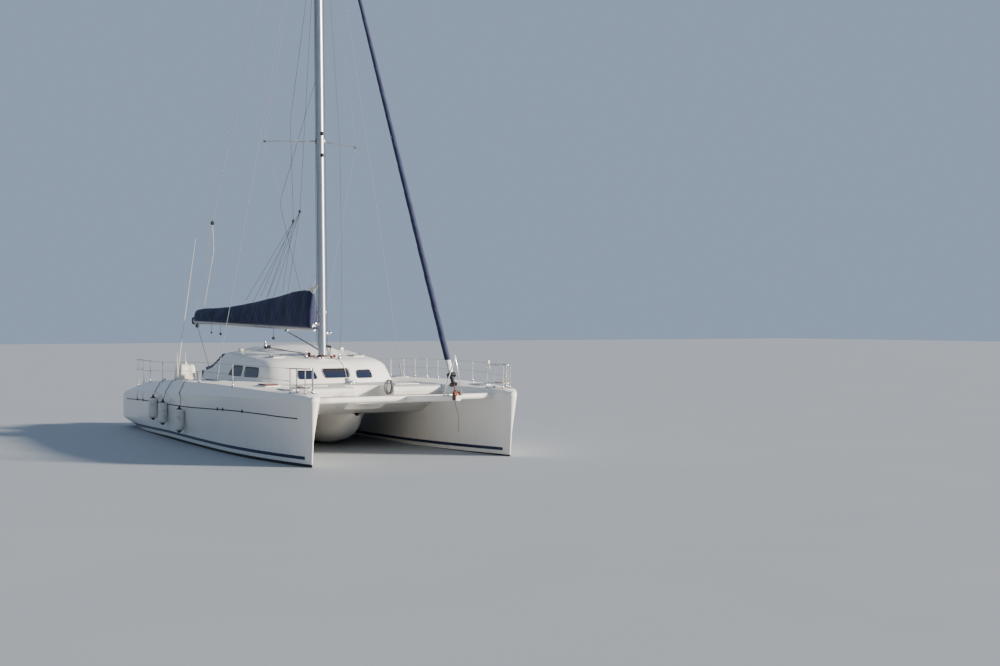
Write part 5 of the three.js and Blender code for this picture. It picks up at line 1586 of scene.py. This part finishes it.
class BOAT_OT_canvas(bpy.types.Operator):
    """The navy sail cover on the boom, the sail's head above it, and the furled headsail"""

    bl_idname = "boat.canvas"
    bl_label = "Canvas and sails"

    def execute(self, context):
        grid = cover_grid()
        cover = piece("boom_cover", [skin(from_boom(grid), closed_cols=False)], navy_canvas, body="boom",
                      stands_for=["sail_cover"], smooth_deg=70)
        thicken(cover, 0.003)
        piece("cover_ties", cover_tie_shapes(), dark_rope, body="boom", smooth_deg=60)
        ends = [cover_end_shape(grid[row]) for row in (0, -1)]
        piece("cover_ends", ends, navy_canvas, body="boom", smooth_deg=60)
        piece("sail_head", [sail_head_shape()], white_sailcloth, body="boom", smooth_deg=60)
        piece("headsail_cloth", [roll_shape()], headsail_cloth, body=BODY_OF["headsail_roll"],
              stands_for=["headsail_roll"], smooth_deg=50)
        return {"FINISHED"}


def cover_end_shape(outline):
    """The gathered end of the cover: its outline drawn in to a point, in shallow pleats."""
    middle = outline.mean(axis=0)
    share = np.linspace(1, 0.02, 10)[:, None, None]
    pleat = 1 + 0.05 * np.sin(np.arange(len(outline)) * 1.4)[None, :, None] * (1 - share) * share * 4
    dome = np.sign(middle[0] + 2.6) * 0.035 * (1 - share) ** 0.5
    rings = middle + (outline[None] - middle) * share * pleat
    rings = rings + dome * np.array([1.0, 0, 0])
    return skin(from_boom(rings))


# Nets.
NET_AFT_X, NET_FORE_X = 4.26, 6.02
NET_INNER_Y = 0.115
NET_SAG = 0.022
NET_AFT_Z, NET_FORE_Z = 1.306, 1.370
STRAND_RADIUS = 0.0036


def net_edge(x):
    """How far out the net reaches at x: to the hull's inner side at the net's height."""
    return HULL_Y - topside(x, 1.35) - 0.012


def net_height(x, share):
    """The net's surface: it rises forward, and sags between its edges by sag * 4 s (1 - s)."""
    rise = NET_AFT_Z + (NET_FORE_Z - NET_AFT_Z) * (x - NET_AFT_X) / (NET_FORE_X - NET_AFT_X)
    return rise - NET_SAG * 4 * share * (1 - share)


def net_shapes(side):
    """The net's strands both ways, on one sagging surface, inside a rope along its edge."""
    mesh = sizes().net_mesh
    shapes = []
    for x in np.arange(NET_AFT_X + mesh / 2, NET_FORE_X, mesh):
        outer = float(net_edge(x)[0])
        share = np.linspace(0, 1, 9)
        y = NET_INNER_Y + (outer - NET_INNER_Y) * share
        strand = np.column_stack([np.full(9, x), side * y, net_height(x, share)])
        shapes.append(sweep(strand, STRAND_RADIUS, 4))
    widest = float(net_edge(NET_AFT_X)[0])
    for y in np.arange(NET_INNER_Y + mesh / 2, float(net_edge(NET_FORE_X)[0]), mesh):
        x = np.linspace(NET_AFT_X, NET_FORE_X, 12)
        if y > widest:
            x = x[net_edge(x) > y]
        if len(x) < 3:
            continue
        share = (y - NET_INNER_Y) / (net_edge(x) - NET_INNER_Y)
        strand = np.column_stack([x, np.full(len(x), side * y), net_height(x, share) + 0.003])
        shapes.append(sweep(strand, STRAND_RADIUS, 4))
    fore_aft = np.linspace(NET_AFT_X, NET_FORE_X, 16)
    edge = [np.column_stack([fore_aft, net_edge(fore_aft), net_height(fore_aft, 1.0)]),
            np.array([[NET_FORE_X, NET_INNER_Y, net_height(NET_FORE_X, 0.0)]]),
            np.array([[NET_AFT_X, NET_INNER_Y, net_height(NET_AFT_X, 0.0)]])]
    loop = evenly(on_side(np.vstack(edge), side), 120, closed=True)
    shapes.append(sweep(loop, 0.008, 8, closed=True))
    return shapes


class BOAT_OT_nets(bpy.types.Operator):
    """Trampoline nets between the foredeck and the beam"""

    bl_idname = "boat.nets"
    bl_label = "Nets"

    def execute(self, context):
        for name, side in SIDES.items():
            piece(f"net_strands_{name}", net_shapes(side), net_webbing, stands_for=[f"net_{name}"],
                  smooth_deg=60)
        return {"FINISHED"}


FENDER_Y = -3.287
FENDERS = {"aft": (-2.88, 0.76), "middle": (-1.91, 0.69), "fore": (-0.36, 0.60)}
FENDER_SKIN = [
    (-0.268, 0.058), (-0.262, 0.085), (-0.245, 0.105), (-0.215, 0.1155), (-0.19, 0.118), (-0.17, 0.1165),
    (-0.15, 0.118), (-0.05, 0.1187), (0.05, 0.1187), (0.15, 0.118), (0.17, 0.1165), (0.19, 0.118),
    (0.215, 0.1155), (0.245, 0.105), (0.262, 0.085), (0.268, 0.058),
]
FENDER_END = [(0.255, 0.088), (0.270, 0.078), (0.285, 0.052), (0.300, 0.034), (0.322, 0.028), (0.324, 0.0)]
# Where each lanyard passes the sheer and where its cleat stands: x.
LANYARD_X = {"aft": (-3.02, -3.02), "middle": (-1.98, -1.98), "fore": (-0.68, -0.92)}


def lanyard_path(name):
    """From the fender's eye up the topside, round the sheer and over the deck's edge to a cleat."""
    x, z = FENDERS[name]
    to, cleat = LANYARD_X[name]
    sheer = HULL_Y + float(section_at(to)[4][0]) + 0.012
    edge, inner = deck_edge((to + cleat) / 2), deck_edge(cleat)
    middle = (x + to) / 2
    points = [(x, FENDER_Y, z + 0.318), (x, FENDER_Y + 0.02, z + 0.36), (middle, -sheer - 0.006, 1.16),
              (to, -sheer, float(section_at(to)[5][0])), ((to + cleat) / 2, -HULL_Y - 0.63, edge + 0.012),
              (cleat, -HULL_Y - 0.53, inner + 0.045)]
    return np.array(points)


class BOAT_OT_fenders(bpy.types.Operator):
    """Three fenders on the starboard topside, on ropes to cleats at the deck's edge"""

    bl_idname = "boat.fenders"
    bl_label = "Fenders"

    def execute(self, context):
        for name, (x, z) in FENDERS.items():
            foot = (x, FENDER_Y, z)
            piece(f"fender_{name}_skin", [turned(FENDER_SKIN, foot, (0, 0, 1), 40)], fender_vinyl,
                  stands_for=[f"fender_{name}"], smooth_deg=50)
            ends = [turned(FENDER_END, foot, (0, 0, way), 32) for way in (-1, 1)]
            piece(f"fender_{name}_ends", ends, moulded_black, smooth_deg=50)
            rope = evenly(rounded_path(lanyard_path(name), 0.05, 6), 60)
            knot = rounded_block((x, FENDER_Y, z + 0.335), (0.022, 0.022, 0.03), 2.4, 10, 14)
            piece(f"fender_{name}_lanyard", [sweep(rope, 0.007, 8), knot], dark_rope, smooth_deg=60)
            foot = lifted(on_deck(LANYARD_X[name][1], 0.53), -0.004)
            piece(f"fender_{name}_cleat", cleat_shapes(foot), polished_stainless, smooth_deg=50)
        return {"FINISHED"}


# Rigging beyond the main stays. Points are along each line, from its top down.
BOOM_END = (5.09, 0.0, 0.10)
LIFT_BLOCK = np.array([-3.24, -1.54, 5.80])
JACK_BLOCK = np.array([-0.118, -0.344, 5.694])
JACK_BLOCK_PORT = JACK_BLOCK + np.array([0.05, 0.16, 0.25])
JACK_FEET = [
    (-1.906, -1.030, 3.655), (-1.344, -0.815, 3.729), (-1.072, -0.710, 3.778), (-0.520, -0.498, 3.849),
]
SHEET_FOOT = np.array([-3.28, -1.555, 1.475])
# The way that a hanging block's pin points.
BLOCK_PIN = (-0.95, 0.31, 0.0)
# Blocks under the boom: distance along it, drop of its strop, half size.
UNDER_BOOM = ((4.35, 0.20, 0.03), (3.95, 0.22, 0.04), (1.75, 0.24, 0.045))
AERIAL = [(-3.64, -2.42, 1.42), (-3.60, -2.35, 2.22), (-3.39, -1.97, 5.35)]
LIFT_TAIL_MIDDLE = (-3.18, -1.52, 5.05)
FALL_MIDDLE = (-0.30, -0.36, 8.3)
# The mainsheet's three parts, as shifts across its middle one.
SHEET_SHIFTS = (-0.035, 0.0, 0.035)
# The halyards' places on the mast: side, distance ahead of its middle.
HALYARDS = ((STARBOARD, 0.05), (STARBOARD, -0.03), (PORT, 0.05), (PORT, -0.03))
# The reefing lines below the mast, and the signal halyard with its cleat on the roof.
REEF_LOW = [
    (-0.62, -0.54, 6.19), (-0.045, -0.316, 4.42), (0.124, -0.25, 3.88), (0.35, -0.163, 3.075),
    (0.425, -0.13, 2.92),
]
REEF_HIGH = [(0.44, -0.126, 3.745), (0.35, -0.163, 3.42), (0.65, -0.045, 2.95)]
SIGNAL = [(0.55, 0.68, 7.66), (0.62, 0.70, 4.4), (0.86, 0.58, 2.9)]
SIGNAL_CLEAT = (0.92, 0.52)


def block_shape(middle, half=0.055):
    """A rope block: two domed cheeks with a sheave between them, and a shackle bow above."""
    cheek = [(0.004, half * 0.8), (0.006, half * 0.98), (0.014, half), (0.021, half * 0.75), (0.022, 0.0)]
    profile = [(-far, radius) for far, radius in reversed(cheek)] + cheek
    bow = [lifted(middle, half * 0.5), lifted(middle, half + 0.045)]
    return [turned(profile, middle, BLOCK_PIN, 20), sweep(bow, 0.006, 8)]


def hanging_line(name, points, radius, looks):
    """A line from the mast to the boom, drawn as a tube through its points and fixed where it is: it belongs to no
    body and does not follow the boom's swing.
    """
    path = evenly(np.array(points), 40)
    made = piece(name, [sweep(path, radius, 6)], looks, body=None, smooth_deg=60)
    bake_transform(made)
    return made


class BOAT_OT_rigging(bpy.types.Operator):
    """Topping lift, lazy jacks, halyards, mainsheet, reefing lines and the whip aerial"""

    bl_idname = "boat.rigging"
    bl_label = "Rigging"

    def execute(self, context):
        self.lift()
        self.jacks()
        self.sheet()
        self.halyards()
        aerial = evenly(AERIAL, 40)
        piece("whip_aerial", [sweep(aerial, np.linspace(0.011, 0.0035, 40), 8)], pale_moulding,
              smooth_deg=60)
        return {"FINISHED"}

    @staticmethod
    def lift():
        """The topping lift with its block, and the line that comes back down from it."""
        top, end = on_mast(17.93, fore=-0.2), on_boom(*BOOM_END)
        hanging_line("topping_lift", [top, LIFT_BLOCK, end], 0.006, steel_wire)
        tail = [LIFT_BLOCK - np.array([-0.02, 0, 0.06]), LIFT_TAIL_MIDDLE, on_boom(4.66, 0.0, 0.42)]
        hanging_line("lift_tail", tail, 0.006, pale_rope)
        made = piece("lift_block", block_shape(LIFT_BLOCK), moulded_black, body=None)
        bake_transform(made)

    @staticmethod
    def jacks():
        """Lazy jacks: a fall from the mast, and legs from its block to the cover on each side."""
        top = on_mast(13.2, fore=-0.15)
        for number, foot in enumerate(JACK_FEET):
            hanging_line(f"jack_leg_{number}", [JACK_BLOCK, foot], 0.0045, dark_rope)
            local = np.asarray(foot) - np.array(JOINTS["boom_swing"]["pos_m"])
            c, s = np.cos(BOOM_YAW), np.sin(BOOM_YAW)
            along = -(local[0] * c + local[1] * s)
            far = on_boom(along, 0.16, local[2] - along * BOOM_LIFT - 0.12)
            hanging_line(f"jack_leg_port_{number}", [JACK_BLOCK_PORT, far], 0.0045, dark_rope)
        falls = [[top, FALL_MIDDLE, JACK_BLOCK], [top, JACK_BLOCK_PORT]]
        for number, path in enumerate(falls):
            piece(f"jack_fall_{number}", [sweep(evenly(np.array(path), 40), 0.005, 6)], dark_rope,
                  smooth_deg=60)
        blocks = block_shape(JACK_BLOCK, half=0.04)
        blocks += block_shape(JACK_BLOCK_PORT, half=0.04)
        piece("jack_blocks", blocks, moulded_black)

    @staticmethod
    def sheet():
        """The mainsheet: three parts between the boom's end and a block on the coaming."""
        high = on_boom(4.98, 0.0, -0.13)
        for number, shift in enumerate(SHEET_SHIFTS):
            move = np.array([shift, -shift * 0.4, 0])
            low = lifted(SHEET_FOOT, 0.09) + move
            path = evenly(np.array([low, high + move]), 30)
            made = piece(f"mainsheet_{number}", [sweep(path, 0.006, 8)], dark_rope, body=None,
                         smooth_deg=60)
            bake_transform(made)
        piece("mainsheet_foot", block_shape(lifted(SHEET_FOOT, 0.04)), moulded_black)
        upper = block_shape(lifted(high, -0.01))
        under = []
        for along, drop, size in UNDER_BOOM:
            eye = on_boom(along, 0.0, -0.10)
            hung = on_boom(along, 0.0, -0.10 - drop)
            under.append(straight_wire(eye, hung, 0.006, 6))
            under += block_shape(hung, half=size)
        cap = rounded_block(on_boom(5.11, 0.0, 0.0), (0.05, 0.075, 0.11), 2.6, 14, 24)
        piece("boom_blocks", upper + under, moulded_black, body="boom")
        piece("boom_end_cap", [cap], moulded_black, body="boom", smooth_deg=60)

    @staticmethod
    def halyards():
        """Halyards down the mast's sides and back over the roof, reefing lines at the gooseneck, and
        a signal halyard under the port spreader."""
        ropes = []
        for number, (side, fore) in enumerate(HALYARDS):
            top = on_mast(17.6 if number % 2 else 15.9, fore, side * 0.104)
            foot = on_mast(2.42, fore, side * 0.125)
            ropes.append([top, on_mast(8.0, fore, side * 0.112), foot])
            turn = np.array([foot[0] - 0.02, foot[1] + side * 0.10, 2.36])
            way = np.linspace(turn[0] - 0.1, -0.62, 14)
            y = np.linspace(turn[1] + side * 0.02, side * (0.80 + 0.05 * (number % 3)), 14)
            ropes.append([(a, b, on_roof(a, b, 0.012)[2]) for a, b in zip(way, y)])
        piece("halyards", [sweep(evenly(np.array(rope, float), 40), 0.0055, 6) for rope in ropes],
              dark_rope, smooth_deg=60)
        hanging_line("reef_line_0", [on_mast(9.4, -0.14), *REEF_LOW], 0.005, dark_rope)
        hanging_line("reef_line_1", [on_mast(4.3, -0.12, -0.05), *REEF_HIGH], 0.005, pale_rope)
        signal = [*SIGNAL, (*SIGNAL_CLEAT, on_roof(*SIGNAL_CLEAT)[2])]
        upper = [on_mast(15.2, 0.0, 0.10), SIGNAL[0]]
        lines = [sweep(evenly(np.array(path, float), 40), 0.0035, 6) for path in (signal, upper)]
        piece("signal_halyard", lines, dark_rope, smooth_deg=60)


# Loose ropes.
SPRIT_ROPE = np.array([
    [8.400, -0.020, 1.440], [8.395, -0.022, 1.36], [8.425, 0.010, 1.22], [8.44, 0.028, 1.10],
    [8.442, 0.030, 0.96], [8.442, 0.030, 0.81],
])
HANK = {"middle": (5.075, 0.0, 1.575), "half_wide": 0.105, "half_high": 0.165, "turns": 9, "pitch": 0.0115}
DECK_COIL = {"x": -0.83, "across": -0.07, "inner": 0.06, "pitch": 0.021, "turns": 6, "diameter": 0.013}
ROOF_ROPE = [(1.33, 0.13), (1.60, 0.24), (1.90, 0.26), (2.15, 0.19), (2.34, 0.10), (2.47, 0.05)]


def top_of(x, y):
    """The highest cabin surface under a point, glass included."""
    found = [1.555]
    for node in frame["nodes"]:
        if node == "coachroof" or node.startswith("window_front"):
            place = met(node, (x, y, 3.0), (0, 0, -1))
            if place is not None:
                found.append(place.z)
    return max(found)


def loose_rope(name, path, diameter, looks):
    """A free rope drawn as a tube along its own measured path."""
    made = piece(name, [sweep(path, diameter / 2, 10)], looks, smooth_deg=60)
    return made


class BOAT_OT_ropes(bpy.types.Operator):
    """The loose ropes: one hung from the sprit, a hank, a deck coil and one over the roof's front"""

    bl_idname = "boat.ropes"
    bl_label = "Loose ropes"

    def execute(self, context):
        path = evenly(smooth_path(SPRIT_ROPE, 60), 60)
        loose_rope("sprit_rope", path, 0.014, dark_rope)
        x, y, z = HANK["middle"]
        turn = np.linspace(0, HANK["turns"] * 2 * np.pi, HANK["turns"] * 36 + 1)
        slack = 0.79 + 0.21 * np.sin(0.37 * turn)
        path = np.column_stack([
            x + HANK["pitch"] * (turn / (2 * np.pi) - HANK["turns"] / 2),
            y + HANK["half_wide"] * slack * np.sin(turn) + 0.02 * np.sin(0.23 * turn),
            z + HANK["half_high"] * (1 - (1 - slack) * 0.3 * (1 - np.cos(turn))) * np.cos(turn),
        ])
        loose_rope("catwalk_hank", path, 0.010, dark_rope)
        pin_z = z + HANK["half_high"] - 0.005 - 0.009
        post = sweep([(x - 0.062, y, 1.34), (x - 0.062, y, 1.56), (x - 0.062, y, pin_z + 0.03)], 0.011, 12)
        pin = sweep([(x - 0.068, y, pin_z), (x, y, pin_z), (x + 0.06, y, pin_z)], 0.009, 12)
        piece("hank_post", [post, pin], polished_stainless, smooth_deg=60)
        coil = DECK_COIL
        turn = np.linspace(0, coil["turns"] * 2 * np.pi, coil["turns"] * 30)
        reach = coil["inner"] + coil["pitch"] * turn / (2 * np.pi)
        path = on_deck(coil["x"], coil["across"]) + np.column_stack([
            reach * np.cos(turn), 0.8 * reach * np.sin(turn), np.full(len(turn), 0.008),
        ])
        loose_rope("deck_coil", path[::-1], coil["diameter"], dark_rope)
        points = [(a, b, top_of(a, b) + 0.011) for a, b in ROOF_ROPE]
        points.append((2.555, 0.035, 1.572))
        path = evenly(smooth_path(points, 90), 90)
        path[:, 2] = [max(z, top_of(a, b) + 0.009) for a, b, z in path]
        path = evenly(smooth_path(evenly(path, 24), 120), 120)
        loose_rope("roof_rope", path, 0.012, pale_rope)
        return {"FINISHED"}


CAMERA = {"place": (32.27, -12.47, 3.05), "ahead": (-0.8705, 0.4921), "dip_deg": 0.4636, "lens": 47.16}
FLOOR_HALF = 160.0
SKY = {"colour": "#AFC3E0", "strength": 0.68}
SUN = {"azimuth_deg": 49, "height_deg": 17.5, "wide_deg": 6, "energy": 11.5, "colour": (1.0, 0.90, 0.78)}


class BOAT_OT_stage(bpy.types.Operator):
    """Pale floor at the waterline, soft light from the port bow, and the camera"""

    bl_idname = "boat.stage"
    bl_label = "Stage"

    def execute(self, context):
        mesh = bpy.data.meshes.new("floor")
        corners = [(x * FLOOR_HALF, y * FLOOR_HALF, 0) for x, y in ((-1, -1), (1, -1), (1, 1), (-1, 1))]
        mesh.from_pydata(corners, [], [(0, 1, 2, 3)])
        mesh.materials.append(finish(floor_paint))
        floor = bpy.data.objects.new("floor", mesh)
        context.scene.collection.objects.link(floor)

        world = bpy.data.worlds.new("soft_sky")
        world.use_nodes = True
        sky = world.node_tree.nodes["Background"]
        sky.inputs["Color"].default_value = hex_colour(SKY["colour"])
        sky.inputs["Strength"].default_value = SKY["strength"]
        context.scene.world = world

        lamp = bpy.data.lights.new("key", "SUN")
        lamp.energy = SUN["energy"]
        lamp.angle = np.radians(SUN["wide_deg"])
        lamp.color = SUN["colour"]
        key = bpy.data.objects.new("key", lamp)
        azimuth, height = np.radians(SUN["azimuth_deg"]), np.radians(SUN["height_deg"])
        toward = Vector((np.cos(azimuth) * np.cos(height), np.sin(azimuth) * np.cos(height), np.sin(height)))
        key.rotation_euler = toward.to_track_quat("Z", "Y").to_euler()
        context.scene.collection.objects.link(key)

        lens = bpy.data.cameras.new("camera")
        lens.lens = CAMERA["lens"]
        lens.sensor_width = 36.0
        lens.clip_end = 1000.0
        camera = bpy.data.objects.new("camera", lens)
        camera.location = CAMERA["place"]
        dip = np.radians(CAMERA["dip_deg"])
        ahead = Vector((*np.array(CAMERA["ahead"]) * np.cos(dip), -np.sin(dip)))
        camera.rotation_euler = ahead.to_track_quat("-Z", "Y").to_euler()
        context.scene.collection.objects.link(camera)
        context.scene.camera = camera
        return {"FINISHED"}


STEPS_IN_ORDER = [
    BOAT_OT_stage, BOAT_OT_ropes, BOAT_OT_hulls, BOAT_OT_underwater, BOAT_OT_decks, BOAT_OT_cabin,
    BOAT_OT_rails, BOAT_OT_spars, BOAT_OT_canvas, BOAT_OT_nets, BOAT_OT_fenders, BOAT_OT_rigging,
]


class BOAT_PT_sidebar(bpy.types.Panel):
    """Lists the catamaran's pieces and settings"""

    bl_idname = "BOAT_PT_sidebar"
    bl_label = "Catamaran"
    bl_space_type = "VIEW_3D"
    bl_region_type = "UI"
    bl_category = "Catamaran"

    def draw(self, context):
        for group in (colours(), sizes()):
            for name in group.bl_rna.properties.keys():
                if name not in ("name", "rna_type"):
                    self.layout.prop(group, name)
        for step in STEPS_IN_ORDER:
            self.layout.operator(step.bl_idname)


CLASSES = [CatamaranColours, CatamaranSizes, *STEPS_IN_ORDER, BOAT_PT_sidebar]


def register():
    for one in CLASSES:
        bpy.utils.register_class(one)
    bpy.types.Scene.catamaran_colours = bpy.props.PointerProperty(type=CatamaranColours)
    bpy.types.Scene.catamaran_sizes = bpy.props.PointerProperty(type=CatamaranSizes)


def unregister():
    del bpy.types.Scene.catamaran_colours
    del bpy.types.Scene.catamaran_sizes
    for one in reversed(CLASSES):
        bpy.utils.unregister_class(one)


def main():
    """Makes every group of pieces in order."""
    register()
    for step in STEPS_IN_ORDER:
        family, name = step.bl_idname.split(".")
        getattr(getattr(bpy.ops, family), name)()


if __name__ == "__main__":
    main()
